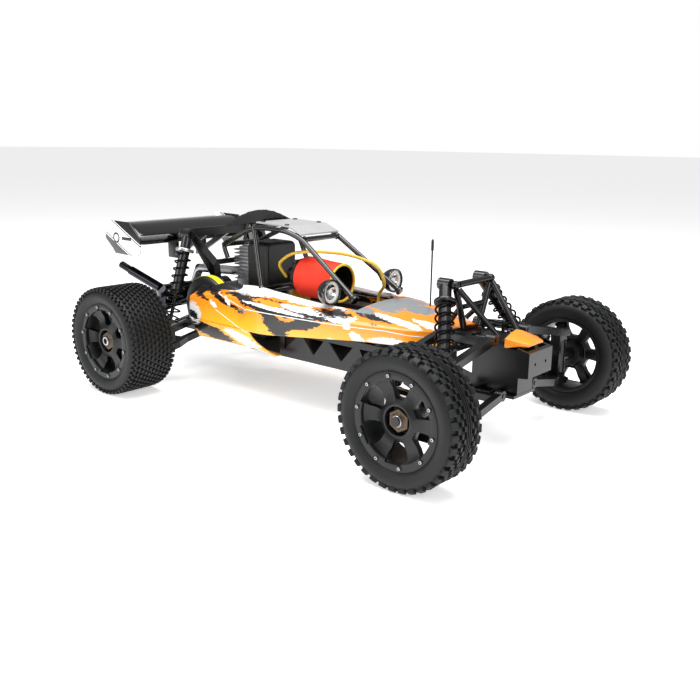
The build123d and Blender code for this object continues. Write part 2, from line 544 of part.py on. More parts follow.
with BuildPart() as rear_tower:
    top_x, top_y, top_z = REAR_SHOCK_TOP
    plate_x = top_x - 14
    for sign in (-1, 1):
        bar(at(-252, sign * 22, 152), at(plate_x, sign * (top_y - 14), top_z + 4), 6, 12)
        bar(at(-222, sign * 40, 84), at(-236, sign * 44, 196), 7, 8)
        bar(at(-236, sign * 44, 194), at(plate_x, sign * (top_y - 14), top_z + 2), 7, 9)
        bar(at(-252, sign * 22, 152), at(-236, sign * 44, 190), 5, 8)
        rod(at(plate_x - 2, sign * top_y, top_z), at(top_x + 12, sign * top_y, top_z), 3.2)
    bar(at(plate_x, -top_y - 5, top_z), at(plate_x, top_y + 5, top_z), 4, 14)
    bar(at(-236, -46, 196), at(-236, 46, 196), 6, 8)
    for sign in (-1, 1):
        bar(at(plate_x - 1, sign * 24, top_z), at(plate_x - 86, sign * 24, top_z - 48), 5, 9)
    block((-258, -26, 147), (-240, 26, 156))
save(rear_tower.part, "rear_tower")

# ---- roll cage: straight tubes that meet in small clamp balls -------------------------------------
JOINT_RADIUS = 4.8
ROOF_REAR = (-142, 46, 262)
ROOF_BEND = (-70, 46, 260)
ROOF_FRONT = (-42, 41, 249)
PILLAR_FOOT = (72, 53.5, 174)
REAR_PILLAR_FOOT = (-111, 60, 168)
STAY_TOP_END = (-222, 40, 226)
STAY_LOW_END = (-214, 38, 205)


def cage_tube(start, end):
    """A tube that stops just short of the clamp ball at each end."""
    first = Vector(*at(*start))
    last = Vector(*at(*end))
    step = (last - first).normalized() * (JOINT_RADIUS + 0.3)
    rod(tuple(first + step), tuple(last - step), TUBE_RADIUS)


def mirrored(point):
    return (point[0], -point[1], point[2])


with BuildPart() as roll_cage:
    joints = (ROOF_REAR, ROOF_BEND, ROOF_FRONT, PILLAR_FOOT, REAR_PILLAR_FOOT, STAY_TOP_END, STAY_LOW_END)
    for point in joints:
        for place in (point, mirrored(point)):
            with Locations(at(*place)):
                Sphere(JOINT_RADIUS)
    runs = ((ROOF_REAR, ROOF_BEND), (ROOF_BEND, ROOF_FRONT), (ROOF_FRONT, PILLAR_FOOT),
            (ROOF_REAR, REAR_PILLAR_FOOT), (ROOF_REAR, STAY_TOP_END), (STAY_TOP_END, STAY_LOW_END))
    for start, end in runs:
        cage_tube(start, end)
        cage_tube(mirrored(start), mirrored(end))
    for point in (ROOF_REAR, ROOF_FRONT, REAR_PILLAR_FOOT, STAY_TOP_END):
        cage_tube(mirrored(point), point)
save(roll_cage.part, "roll_cage")

with BuildPart() as roof_panel:
    with BuildSketch(side_plane(43)):
        outline([(-140, 267.2), (-70, 265.4), (-43, 254.8), (-43, 257), (-69.5, 267.5), (-140, 269.3)])
    extrude(amount=86)
save(roof_panel.part, "roof_panel")

with BuildPart() as dust_cover:
    with BuildSketch(side_plane(42)):
        with BuildLine():
            rear_low = (-216, 257)
            front_low = (-143, 267.2)
            crown = (-180, 282)
            Line(rear_low, front_low)
            ThreePointArc(front_low, crown, rear_low)
        make_face()
    extrude(amount=84)
    split(bisect_by=Plane(origin=at(0, 32, 282), z_dir=(0, 1, 1.4)), keep=Keep.BOTTOM)
    split(bisect_by=Plane(origin=at(0, -32, 282), z_dir=(0, -1, 1.4)), keep=Keep.BOTTOM)
save(dust_cover.part, "dust_cover")

# ---- bodywork -------------------------------------------------------------------------------------
# stations along the right half as (x, deck edge, shoulder, sill), each edge a (y, z)
SIDE_STATIONS = (
    (-232, (93, 150), (104, 147), (106, 112)),
    (-130, (88, 171), (104, 160), (108, 113)),
    (-64, (70, 170), (106, 152), (109, 112)),
    (20, (69, 165), (103, 151), (102, 119)),
    (110, (65.5, 162), (91, 150), (89, 126)),
    (180, (44.5, 155), (70, 149), (69, 127)),
    (200, (33, 152), (60, 148), (59, 128)),
    (207, (28, 151), (33.5, 147), (33, 129)),
    (230, (26.5, 149.5), (33.5, 146), (33, 131)),
)
PAN_STATIONS = (
    (-226, (105, 110.5), (92, 82)),
    (-130, (107, 111.5), (94, 79)),
    (-44, (107.5, 111), (92, 79)),
)
HOOD_STATIONS = (
    (90, 65, 162.5, 169),
    (110, 64, 161, 168),
    (180, 43, 154, 160),
    (206, 27, 150.5, 156),
    (230, 25, 149, 153),
)


def loft_sections(planes_and_points):
    faces = []
    for plane, points in planes_and_points:
        with BuildSketch(plane) as section:
            outline(points)
        faces.append(section.sketch.faces()[0])
    loft(faces, ruled=True)


with BuildPart() as body_shell:
    for sign in (-1, 1):
        sections = []
        for x, deck, shoulder, sill in SIDE_STATIONS:
            outer = [deck, shoulder, sill]
            inner = [(sill[0] - WALL, sill[1]), (shoulder[0] - WALL, shoulder[1] - WALL), (deck[0], deck[1] - WALL)]
            sections.append((cross_section(x), [(sign * y, z) for y, z in outer + inner]))
        loft_sections(sections)
        sections = []
        for x, sill, keel in PAN_STATIONS:
            corners = [sill, keel, (keel[0] - WALL, keel[1]), (sill[0] - WALL, sill[1])]
            sections.append((cross_section(x), [(sign * y, z) for y, z in corners]))
        loft_sections(sections)
    sections = []
    for x, half, edge_z, ridge_z in HOOD_STATIONS:
        sections.append((cross_section(x), [(-half, edge_z), (0, ridge_z), (half, edge_z),
                                            (half, edge_z - WALL), (0, ridge_z - WALL), (-half, edge_z - WALL)]))
    loft_sections(sections)
    nose = ((303, 27, 138, 150, 158), (322, 25, 142.5, 148, 151), (334, 19, 142.5, 145, 147))
    loft_sections([(cross_section(x), [(-half, low), (half, low), (half, mid), (0, top), (-half, mid)])
                   for x, half, low, mid, top in nose])
save(body_shell.part, "body_shell")

# ---- engine bay -----------------------------------------------------------------------------------
ENGINE_REAR = -224
SHROUD_REAR = -178
with BuildPart() as engine_block:
    block((ENGINE_REAR, -24, FLOOR_Z + FLOOR_THICKNESS + GAP), (ENGINE_REAR + 84, 34, 150))
    fillet(engine_block.edges().filter_by(Axis.Y), 8)
    block((ENGINE_REAR + 10, -16, 150), (ENGINE_REAR + 43, 18, 168))
    for fin in range(9):
        low = 168 + 6 * fin
        block((ENGINE_REAR + 6, -20, low), (ENGINE_REAR + 44, 20, low + 2.4))
        block((ENGINE_REAR + 12, -14, low + 2.4), (ENGINE_REAR + 42, 16, low + 6))
save(engine_block.part, "engine_block")

with BuildPart() as engine_shroud:
    block((SHROUD_REAR, -26, 152), (SHROUD_REAR + 44, 42, 234))
    fillet(engine_shroud.edges().filter_by(Axis.X), 10)
    fillet(engine_shroud.faces().sort_by(Axis.X)[-1].edges(), 5)
save(engine_shroud.part, "engine_shroud")

DRUM_AXIS_Y = -8
DRUM_Z = 188
DRUM_BACK = -64
DRUM_LENGTH = 74
DRUM_AXIS = (1, 0, -0.04)
with BuildPart() as air_filter:
    with BuildSketch(Plane(origin=at(DRUM_BACK, DRUM_AXIS_Y, DRUM_Z), z_dir=DRUM_AXIS)) as drum_back:
        Circle(31)
    with BuildSketch(Plane(origin=at(DRUM_BACK + DRUM_LENGTH, DRUM_AXIS_Y, DRUM_Z - 3), z_dir=DRUM_AXIS)) as drum_front:
        Circle(29)
    loft([drum_back.sketch.faces()[0], drum_front.sketch.faces()[0]])
    with BuildSketch(Plane(origin=at(DRUM_BACK + 30, DRUM_AXIS_Y, DRUM_Z - 1.2), z_dir=DRUM_AXIS)) as mouth:
        Circle(26)
    extrude(mouth.sketch, amount=DRUM_LENGTH, mode=Mode.SUBTRACT)
    rod(at(DRUM_BACK - 12, DRUM_AXIS_Y, DRUM_Z), at(DRUM_BACK, DRUM_AXIS_Y, DRUM_Z), 27)
    rod(at(SHROUD_REAR + 52, DRUM_AXIS_Y, DRUM_Z - 6), at(DRUM_BACK - 12, DRUM_AXIS_Y, DRUM_Z), 9)
save(air_filter.part, "air_filter")

with BuildPart() as fuel_tank:
    block((-92, 30, FLOOR_Z + FLOOR_THICKNESS + GAP), (70, 64, 146))
    fillet(fuel_tank.edges().filter_by(Axis.X), 7)
    rod(at(-50, 46, 145), at(-50, 46, 156), 11)
save(fuel_tank.part, "fuel_tank")

HOSE_RADIUS = 2.5
HOSE_ROUTE = (at(-98, -18.2, 184), at(-106, -30, 205), at(-76, -30, 225), at(-34, -22, 231),
              at(14, 2, 229), at(56, 20, 215), at(62, 32, 184), at(40, 44, 167), at(38, 45, 146))
with BuildPart() as gear_cover:
    with BuildSketch(side_plane(-62)):
        with Locations(SPUR_CENTRE):
            Circle(GEAR_COVER_RADIUS)
    extrude(amount=-GEAR_COVER_OUTER_Y - 62)
    fillet(gear_cover.faces().sort_by(Axis.Y)[0].edges(), 3)
    with BuildSketch(side_plane(-61)):
        with Locations(SPUR_CENTRE):
            Circle(GEAR_COVER_RADIUS - 3)
    extrude(amount=-GEAR_COVER_OUTER_Y - 61 - 2.5, mode=Mode.SUBTRACT)
save(gear_cover.part, "gear_cover")

TAIL_LOW = (-330, -88, 146)
TAIL_STEP = (-398, -98, 170)
TAIL_TIP = (-422, -100, 178)
with BuildPart() as exhaust_pipe:
    rod(at(-352, -78, 126), at(-352, 78, 126), 21)
    rod(at(-352, -70, 126), at(*TAIL_LOW), 8)
    rod(at(*TAIL_LOW), at(*TAIL_STEP), 8)
    rod(at(*TAIL_STEP), at(*TAIL_TIP), 6.5)
    rod(at(-405, -98.6, 172.3), at(-424, -100.2, 178.7), 5, mode=Mode.SUBTRACT)
    rod(at(-352, 0, 130), at(-334, 0, 172), 7)
    with Locations(at(-334, 0, 172)):
        Sphere(7)
    rod(at(-334, 0, 172), at(ENGINE_REAR + 5, 0, 178), 7)
save(exhaust_pipe.part, "exhaust_pipe")

# ---- wing, lamps and aerial -------------------------------------------------------------------------
WING_HALF_SPAN = 122
with BuildPart() as rear_wing:
    for sign in (-1, 1):
        with BuildSketch(side_plane(sign * WING_HALF_SPAN + 1.5)):
            outline([(-428, 258), (-362, 257), (-334, 232), (-335, 208), (-345, 201), (-405, 202),
                     (-411, 209), (-432, 226)])
        extrude(amount=3)
    blade_start = WING_HALF_SPAN - 2
    with BuildSketch(side_plane(blade_start)):
        outline([(-424, 253), (-368, 256), (-340, 236), (-341, 233), (-369, 252), (-423, 249)])
    extrude(amount=2 * blade_start)
    with BuildSketch(side_plane(blade_start)):
        outline([(-421, 226), (-372, 230), (-338, 222), (-339, 219), (-373, 226), (-420, 222)])
    extrude(amount=2 * blade_start)
    for post_y in (-28, 34):
        with BuildSketch(side_plane(post_y)):
            outline([(-376, 190), (-352, 190), (-352, 221.2), (-373, 225.5), (-376, 225.2)])
            outline([(-376, 230.3), (-372, 230.7), (-352, 226), (-352, 239.8), (-369, 251.3), (-376, 251)])
        extrude(amount=6)
save(rear_wing.part, "rear_wing")

LAMP = (48, 74, 184)
with BuildPart() as headlights:
    for sign in (-1, 1):
        x, y, z = LAMP
        rod(at(x - 26, sign * y, z), at(x, sign * y, z), 19)
        rod(at(x - 3, sign * y, z), at(x + 1, sign * y, z), 15.5, mode=Mode.SUBTRACT)
        rod(at(x - 2.8, sign * y, z), at(x - 1, sign * y, z), 15)
        bar(at(x - 14, sign * (y - 15), z + 2), at(x - 14, sign * (y - 19.8), z + 8), 8, 5)
save(headlights.part, "headlights")

with BuildPart() as antenna:
    rod(at(140, 39, 162), at(140, 39, 244), 1.2)
    rod(at(140, 39, 243), at(140, 39, 256), 2)
    with Locations(at(140, 39, 256)):
        Cone(2, 1, 3, align=(Align.CENTER, Align.CENTER, Align.MIN))
save(antenna.part, "antenna")

with BuildPart() as fuel_hose:
    with BuildLine() as route:
        radii = []
        for before, corner, after in zip(HOSE_ROUTE, HOSE_ROUTE[1:], HOSE_ROUTE[2:]):
            run_in = Vector(*corner) - Vector(*before)
            run_out = Vector(*after) - Vector(*corner)
            turn = math.radians(run_in.get_angle(run_out))
            radii.append(0.45 * min(run_in.length, run_out.length) / math.tan(turn / 2))
        FilletPolyline(*HOSE_ROUTE, radius=radii)
    print("hose bend radii", [round(r) for r in radii], "length", round(sum(e.length for e in route.edges())))
    with BuildSketch(Plane(origin=HOSE_ROUTE[0], z_dir=Vector(*HOSE_ROUTE[1]) - Vector(*HOSE_ROUTE[0]))):
        Circle(HOSE_RADIUS)
    sweep()
save(fuel_hose.part, "fuel_hose")
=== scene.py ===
# %% [markdown]
# # A fifth-scale petrol buggy
# The CAD model is a fixed frame: every arm, shock and wheel is already where it belongs, in metres.
# This lesson loads it, gives every part a finish worked out from its real material, and models the
# pieces whose looks need more than CAD: tyres, rims, springs, bodywork, cage, wing, lamps and hose.

import math

import bmesh
import bpy
from mathutils import Matrix, Vector


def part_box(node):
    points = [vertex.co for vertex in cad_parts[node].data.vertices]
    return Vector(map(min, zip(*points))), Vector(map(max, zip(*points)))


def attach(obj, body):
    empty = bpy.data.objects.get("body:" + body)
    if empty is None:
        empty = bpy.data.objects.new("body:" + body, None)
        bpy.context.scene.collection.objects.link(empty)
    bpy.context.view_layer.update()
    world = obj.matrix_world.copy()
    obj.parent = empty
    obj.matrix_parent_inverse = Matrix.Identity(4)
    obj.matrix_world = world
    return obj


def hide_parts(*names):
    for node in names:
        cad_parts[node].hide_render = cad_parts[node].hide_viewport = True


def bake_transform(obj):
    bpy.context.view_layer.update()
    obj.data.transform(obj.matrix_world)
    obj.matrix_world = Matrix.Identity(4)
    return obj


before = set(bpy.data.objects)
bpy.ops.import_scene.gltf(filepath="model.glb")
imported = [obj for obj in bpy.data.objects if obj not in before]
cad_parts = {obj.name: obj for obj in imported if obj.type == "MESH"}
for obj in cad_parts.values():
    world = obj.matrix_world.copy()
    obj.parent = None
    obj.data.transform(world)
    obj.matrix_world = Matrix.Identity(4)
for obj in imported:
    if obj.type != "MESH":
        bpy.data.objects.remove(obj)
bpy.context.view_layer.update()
bpy.ops.object.select_all(action="DESELECT")

# %% [markdown]
# The wheels give the places that the rest hangs on: the two axle lines, their height above the ground
# and the middle of the wheelbase. Sizes in this file are millimetres unless a name says otherwise, so
# one value turns them to Blender's metres.

# %% Places and units
MM = 0.001


def middle_of(node):
    low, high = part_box(node)
    return (Vector(low) + Vector(high)) / 2


front_axle = middle_of("front_left_tyre")
rear_axle = middle_of("rear_left_tyre")
BASE_X = (front_axle.x + rear_axle.x) / 2
AXLE_Z = front_axle.z


def at(x, y, z):
    """A place given in millimetres from the middle of the wheelbase, on the ground."""
    return Vector((BASE_X + x * MM, y * MM, z * MM))


print("wheelbase", round(front_axle.x - rear_axle.x, 3), "axle height", round(AXLE_Z, 3))

# %% [markdown]
# ## Camera and studio
# The view is a low three-quarter one from the front right, with a short telephoto lens so that the
# near wheel looks larger than the far one. The sweep is a white studio: a pale floor, one large soft
# box above, a second to the side, and a bright surround that gives black plastic its edges.

# %% Camera
CAMERA_AZIMUTH = math.radians(40.05)
CAMERA_ELEVATION = math.radians(14.07)
CAMERA_ROLL = math.radians(0.83)
CAMERA_PLACE = at(824.1, -956.2, 394.4)

towards_camera = Vector((math.sin(CAMERA_AZIMUTH) * math.cos(CAMERA_ELEVATION),
                         -math.cos(CAMERA_AZIMUTH) * math.cos(CAMERA_ELEVATION),
                         math.sin(CAMERA_ELEVATION)))
level = Vector((math.cos(CAMERA_AZIMUTH), math.sin(CAMERA_AZIMUTH), 0))
upright = towards_camera.cross(level)
right = level * math.cos(CAMERA_ROLL) + upright * math.sin(CAMERA_ROLL)
up = upright * math.cos(CAMERA_ROLL) - level * math.sin(CAMERA_ROLL)
turn = Matrix((right, up, towards_camera)).transposed()

lens = bpy.data.cameras.new("camera")
lens.lens = 42.9
lens.sensor_width = 36
camera = bpy.data.objects.new("camera", lens)
camera.matrix_world = Matrix.Translation(CAMERA_PLACE) @ turn.to_4x4()
bpy.context.collection.objects.link(camera)
bpy.context.scene.camera = camera
print("camera at", [round(v, 3) for v in CAMERA_PLACE])

# %% [markdown]
# Colours are written as the sRGB hex values that a paint chart gives, and one function turns them to
# the linear values that shaders work in. One more small function adds any shader node with its
# settings and links, so that each material below reads as a recipe.

# %% Colour and node helpers
def colour(code):
    """An sRGB hex colour as linear red, green, blue and alpha."""
    parts = [int(code[i:i + 2], 16) / 255 for i in (1, 3, 5)]
    linear = [p / 12.92 if p <= 0.04045 else ((p + 0.055) / 1.055) ** 2.4 for p in parts]
    return (*linear, 1)


def add_node(tree, kind, **inputs):
    """Add a shader node; an input may be a value or another node's output, an attribute a value."""
    made = tree.nodes.new(kind)
    for name, value in inputs.items():
        if hasattr(made, name) and name not in ("location", "name"):
            setattr(made, name, value)
            continue
        by_index = name[0] == "i" and name[1:].isdigit()
        socket = made.inputs[int(name[1:]) if by_index else name.replace("_", " ")]
        if isinstance(value, bpy.types.NodeSocket):
            tree.links.new(value, socket)
        else:
            socket.default_value = value
    return made


def new_material(name):
    made = bpy.data.materials.new(name)
    made.use_nodes = True
    tree = made.node_tree
    return made, tree, tree.nodes["Principled BSDF"], tree.nodes.new("ShaderNodeTexCoord").outputs["Object"]


def per_metre(size_mm):
    """Noise and wave scale for a pattern that repeats every size_mm."""
    return 1 / (size_mm * MM)


# %% [markdown]
# Moulded parts, rubber and painted tube all share one recipe: two close shades mixed by a soft noise,
# so that no face is one flat colour, a finer noise for the grain the mould was spark-eroded with, and
# a roughness that changes a little across the part where hands have polished it.

# %% Moulded and painted finishes
def grained(name, dark, light, roughness, grain_mm, bump, patch_mm=30, specular=0.5, coat=0.0):
    made, tree, shader, place = new_material(name)
    patches = add_node(tree, "ShaderNodeTexNoise", Vector=place, Scale=per_metre(patch_mm), Detail=3.0)
    tone = add_node(tree, "ShaderNodeMix", data_type="RGBA", i0=patches.outputs["Fac"],
                    i6=colour(dark), i7=colour(light))
    grain = add_node(tree, "ShaderNodeTexNoise", Vector=place, Scale=per_metre(grain_mm), Detail=2.0)
    relief = add_node(tree, "ShaderNodeBump", Height=grain.outputs["Fac"], Strength=bump, Distance=0.3 * MM)
    wear = add_node(tree, "ShaderNodeMapRange", Value=patches.outputs["Fac"], i3=roughness - 0.06,
                    i4=roughness + 0.06)
    tree.links.new(tone.outputs[2], shader.inputs["Base Color"])
    tree.links.new(wear.outputs["Result"], shader.inputs["Roughness"])
    tree.links.new(relief.outputs["Normal"], shader.inputs["Normal"])
    shader.inputs["Specular IOR Level"].default_value = specular
    shader.inputs["Coat Weight"].default_value = coat
    shader.inputs["Coat Roughness"].default_value = 0.08
    return made


def metal(name, dark, light, roughness, scratch_mm, along=(1, 1, 8), bump=0.1):
    """Bare or plated metal: scratches are a noise stretched along the way it was machined."""
    made, tree, shader, place = new_material(name)
    stretched = add_node(tree, "ShaderNodeMapping", Vector=place, Scale=along)
    scratches = add_node(tree, "ShaderNodeTexNoise", Vector=stretched.outputs["Vector"],
                         Scale=per_metre(scratch_mm), Detail=4.0)
    tone = add_node(tree, "ShaderNodeMix", data_type="RGBA", i0=scratches.outputs["Fac"],
                    i6=colour(dark), i7=colour(light))
    polish = add_node(tree, "ShaderNodeMapRange", Value=scratches.outputs["Fac"], i3=roughness * 0.7,
                      i4=roughness * 1.4)
    relief = add_node(tree, "ShaderNodeBump", Height=scratches.outputs["Fac"], Strength=bump,
                      Distance=0.1 * MM)
    tree.links.new(tone.outputs[2], shader.inputs["Base Color"])
    tree.links.new(polish.outputs["Result"], shader.inputs["Roughness"])
    tree.links.new(relief.outputs["Normal"], shader.inputs["Normal"])
    shader.inputs["Metallic"].default_value = 1
    return made


tyre_rubber = grained("moulded tyre rubber", "#08090a", "#0f1011", 0.55, 1.6, 0.25, specular=0.35)
rim_nylon = grained("glass-filled nylon, spark-eroded", "#08090a", "#0e0f11", 0.4, 1.5, 0.35, specular=0.4)
frame_nylon = grained("moulded nylon, satin", "#060607", "#0c0c0e", 0.3, 1.5, 0.15, specular=0.45)
tube_paint = grained("gloss black stove enamel on steel tube", "#060607", "#0b0b0d", 0.16, 4, 0.03, coat=0.6)
anodised_black = grained("black anodised aluminium", "#09090b", "#121216", 0.24, 2.5, 0.06, specular=0.6)
shroud_plastic = grained("moulded ABS, semi-matt", "#0a0a0b", "#131315", 0.42, 1.6, 0.25)
roof_plastic = grained("painted polycarbonate plate, light grey", "#9c9d9c", "#abacab", 0.36, 2, 0.06)
red_plastic = grained("flocked red filter sleeve", "#d51a08", "#e8260f", 0.55, 1.4, 0.35, specular=0.3)
steel = metal("ground steel", "#8e9094", "#b9bbbf", 0.24, 2)
cast_alloy = metal("cast and machined aluminium", "#9a9c9f", "#cfd0d2", 0.34, 2.5, along=(1, 1, 1), bump=0.3)
bronze_nut = metal("bronze-plated hard steel", "#40382f", "#6a5b4c", 0.36, 2, along=(1, 6, 1))
spring_steel = metal("black oiled spring steel", "#101012", "#1d1d20", 0.28, 2)
black_chrome = metal("black chrome plate", "#1c1c1f", "#3a3a3f", 0.12, 4)
print(len(bpy.data.materials), "finishes")

# %% [markdown]
# Every CAD part that keeps its own shape gets the finish of the real piece. The names come in groups,
# so a short table of endings is enough: whatever is not listed is satin moulded nylon.

# %% Finishes for the CAD parts
FINISH_BY_ENDING = {
    "tyre": tyre_rubber, "rim": rim_nylon, "spring": spring_steel, "shock_body": anodised_black,
    "shock_rod": anodised_black, "driveshaft": steel, "tie_rod": anodised_black, "upper_link": anodised_black,
    "spur_gear": steel, "roll_cage": tube_paint, "roof_panel": roof_plastic, "engine_block": cast_alloy,
    "engine_shroud": shroud_plastic, "air_filter": red_plastic, "exhaust_pipe": black_chrome,
    "gear_cover": shroud_plastic, "dust_cover": shroud_plastic,
}
for name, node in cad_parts.items():
    chosen = frame_nylon
    for ending, finish in FINISH_BY_ENDING.items():
        if name.endswith(ending):
            chosen = finish
    node.data.materials.clear()
    node.data.materials.append(chosen)
print("CAD parts finished:", len(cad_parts))

# %% [markdown]
# The floor is one large pale sheet. It is staging, not part of the buggy. Its colour sits just under
# white so that the soft shadow under the wheels shows.

# %% Floor and lights
bpy.ops.mesh.primitive_plane_add(size=60, location=(0, 0, -0.2 * MM))
floor = bpy.context.object
floor.name = "floor"
paper = grained("matt white studio paper", "#f4f4f4", "#fafafa", 0.9, 3, 0.02, specular=0.1)
paper.node_tree.nodes["Principled BSDF"].inputs["Emission Color"].default_value = colour("#ffffff")
paper.node_tree.nodes["Principled BSDF"].inputs["Emission Strength"].default_value = 0.5
floor.data.materials.append(paper)


def soft_box(name, place, target, size, power):
    lamp = bpy.data.lights.new(name, "AREA")
    lamp.shape = "RECTANGLE"
    lamp.size, lamp.size_y = size
    lamp.energy = power
    holder = bpy.data.objects.new(name, lamp)
    holder.location = place
    holder.rotation_euler = (Vector(target) - Vector(place)).to_track_quat("-Z", "Y").to_euler()
    bpy.context.collection.objects.link(holder)


soft_box("overhead box", (0.1, -0.2, 1.9), (0, 0, 0.1), (2.2, 1.4), 62)
soft_box("nose side box", (1.9, -0.9, 1.1), (0, 0, 0.1), (1.0, 1.0), 14)
soft_box("right side box", (-0.9, -1.9, 0.9), (0, 0, 0.1), (1.2, 0.8), 12)

world = bpy.data.worlds.new("studio surround")
world.use_nodes = True
surround = world.node_tree
surround.nodes["Background"].inputs["Color"].default_value = colour("#ffffff")
surround.nodes["Background"].inputs["Strength"].default_value = 0.38
seen = add_node(surround, "ShaderNodeBackground", Color=colour("#ffffff"), Strength=1.0)
path_kind = add_node(surround, "ShaderNodeLightPath")
joined = add_node(surround, "ShaderNodeMixShader", i0=path_kind.outputs["Is Camera Ray"],
                  i1=surround.nodes["Background"].outputs["Background"], i2=seen.outputs["Background"])
surround.links.new(joined.outputs["Shader"], surround.nodes["World Output"].inputs["Surface"])
bpy.context.scene.world = world
bpy.context.scene.view_settings.view_transform = "Standard"

# %% [markdown]
# ## Helpers for modelling
# Each piece starts as one primitive, is shaped in edit mode, and gets its modifiers applied. A turned
# piece, such as a tyre or a lens, starts as a circle whose edge is extruded and resized from one point
# of its profile to the next, the way a potter raises a wall. A flat plate starts as a filled circle
# with as many corners as the plate has. Both are made at the origin and then set in place.

# %% Modelling helpers
def clear_selection():
    if bpy.context.object and bpy.context.object.mode != "OBJECT":
        bpy.ops.object.mode_set(mode="OBJECT")
    bpy.ops.object.select_all(action="DESELECT")


def pick(piece):
    clear_selection()
    piece.select_set(True)
    bpy.context.view_layer.objects.active = piece


def apply_modifier(piece, kind, **settings):
    pick(piece)
    made = piece.modifiers.new(kind, kind)
    for name, value in settings.items():
        setattr(made, name, value)
    bpy.ops.object.modifier_apply(modifier=made.name)


def finish_piece(piece, name, finish, place=None, bevel=0.0, smooth=35, segments=2):
    """Name a piece, round its edges, move its mesh to its place and give it its finish."""
    if bevel:
        apply_modifier(piece, "BEVEL", width=bevel * MM, segments=segments, limit_method="ANGLE",
                       angle_limit=math.radians(30))
    if place is not None:
        piece.data.transform(place)
        if place.determinant() < 0:
            piece.data.flip_normals()
    pick(piece)
    if smooth:
        bpy.ops.object.shade_smooth_by_angle(angle=math.radians(smooth))
        for left_over in list(piece.modifiers):
            bpy.ops.object.modifier_apply(modifier=left_over.name)
    piece.name = piece.data.name = name
    piece.data.materials.clear()
    piece.data.materials.append(finish)
    return piece


def turned(profile, steps=96):
    """A turned piece on the Z axis, from its profile as (height, radius) points; a profile that ends
    where it starts is a closed ring, and an open one gets flat ends."""
    clear_selection()
    height, radius = profile[0]
    bpy.ops.mesh.primitive_circle_add(vertices=steps, radius=radius * MM, location=(0, 0, height * MM))
    piece = bpy.context.object
    bpy.ops.object.transform_apply()
    bpy.ops.object.mode_set(mode="EDIT")
    bpy.ops.mesh.select_all(action="SELECT")
    for next_height, next_radius in profile[1:]:
        rise = (0, 0, (next_height - height) * MM)
        bpy.ops.mesh.extrude_region_move(TRANSFORM_OT_translate={"value": rise})
        grow = next_radius / radius
        bpy.ops.transform.resize(value=(grow, grow, 1), center_override=(0, 0, next_height * MM))
        height, radius = next_height, next_radius
    bpy.ops.mesh.select_all(action="SELECT")
    bpy.ops.mesh.remove_doubles(threshold=0.01 * MM)
    bpy.ops.mesh.fill_holes(sides=0)
    bpy.ops.mesh.select_all(action="SELECT")
    bpy.ops.mesh.normals_make_consistent(inside=False)
    bpy.ops.object.mode_set(mode="OBJECT")
    return piece


def plate(corners, thickness):
    """A flat plate on the XY plane, rising by its thickness, from its corners as (x, y)."""
    clear_selection()
    bpy.ops.mesh.primitive_circle_add(vertices=len(corners), fill_type="NGON")
    piece = bpy.context.object
    for vertex, (x, y) in zip(piece.data.vertices, corners):
        vertex.co = (x * MM, y * MM, 0)
    bpy.ops.object.mode_set(mode="EDIT")
    bpy.ops.mesh.select_all(action="SELECT")
    bpy.ops.mesh.extrude_region_move(TRANSFORM_OT_translate={"value": (0, 0, thickness * MM)})
    bpy.ops.mesh.select_all(action="SELECT")
    bpy.ops.mesh.normals_make_consistent(inside=False)
    bpy.ops.object.mode_set(mode="OBJECT")
    return piece


def slab(low, high, taper=1.0):
    """A block between two corners in millimetres; taper is how wide its top is beside its foot."""
    clear_selection()
    bpy.ops.mesh.primitive_cube_add(size=1)
    piece = bpy.context.object
    size = [(b - a) * MM for a, b in zip(low, high)]
    middle = [(a + b) / 2 * MM for a, b in zip(low, high)]
    bpy.ops.object.mode_set(mode="EDIT")
    bpy.ops.transform.resize(value=size)
    bpy.ops.mesh.select_all(action="DESELECT")
    bpy.ops.object.mode_set(mode="OBJECT")
    for vertex in piece.data.vertices:
        if vertex.co.z > 0:
            vertex.co.x *= taper
            vertex.co.y *= taper
    piece.data.transform(Matrix.Translation(middle))
    return piece


def copies(piece, places):
    """Copies of a piece, each with its own mesh moved by one of the places, joined into one piece."""
    made = []
    for place in places:
        copy = piece.copy()
        copy.data = piece.data.copy()
        copy.data.transform(place)
        bpy.context.collection.objects.link(copy)
        made.append(copy)
    bpy.data.objects.remove(piece)
    return join(made)


def join(pieces):
    clear_selection()
    for each in pieces:
        each.select_set(True)
    bpy.context.view_layer.objects.active = pieces[0]
    if len(pieces) > 1:
        bpy.ops.object.join()
    return bpy.context.object


def cut(piece, tool, operation="DIFFERENCE"):
    apply_modifier(piece, "BOOLEAN", operation=operation, object=tool, solver="EXACT")
    bpy.data.objects.remove(tool)


def pipe(points, radius, sides=5, bend=0.0):
    """A round tube along points; bend rounds its corners, in mm or as a share of the shorter run."""
    path = bpy.data.curves.new("path", "CURVE")
    path.dimensions = "3D"
    path.bevel_depth = radius * MM
    path.bevel_resolution = sides
    path.use_fill_caps = True
    line = path.splines.new("POLY")
    route = [points[0]]
    for before, corner, after in zip(points, points[1:], points[2:]):
        if not bend:
            route.append(corner)
            continue
        reach = bend * MM if bend > 1 else bend * min((before - corner).length, (after - corner).length)
        enter = corner + (before - corner).normalized() * reach
        leave = corner + (after - corner).normalized() * reach
        for step in range(7):
            t = step / 6
            route.append(enter * (1 - t) ** 2 + corner * 2 * t * (1 - t) + leave * t ** 2)
    route.append(points[-1])
    line.points.add(len(route) - 1)
    for point, place in zip(line.points, route):
        point.co = (*place, 1)
    holder = bpy.data.objects.new("pipe", path)
    bpy.context.collection.objects.link(holder)
    pick(holder)
    bpy.ops.object.convert(target="MESH")
    return bpy.context.object


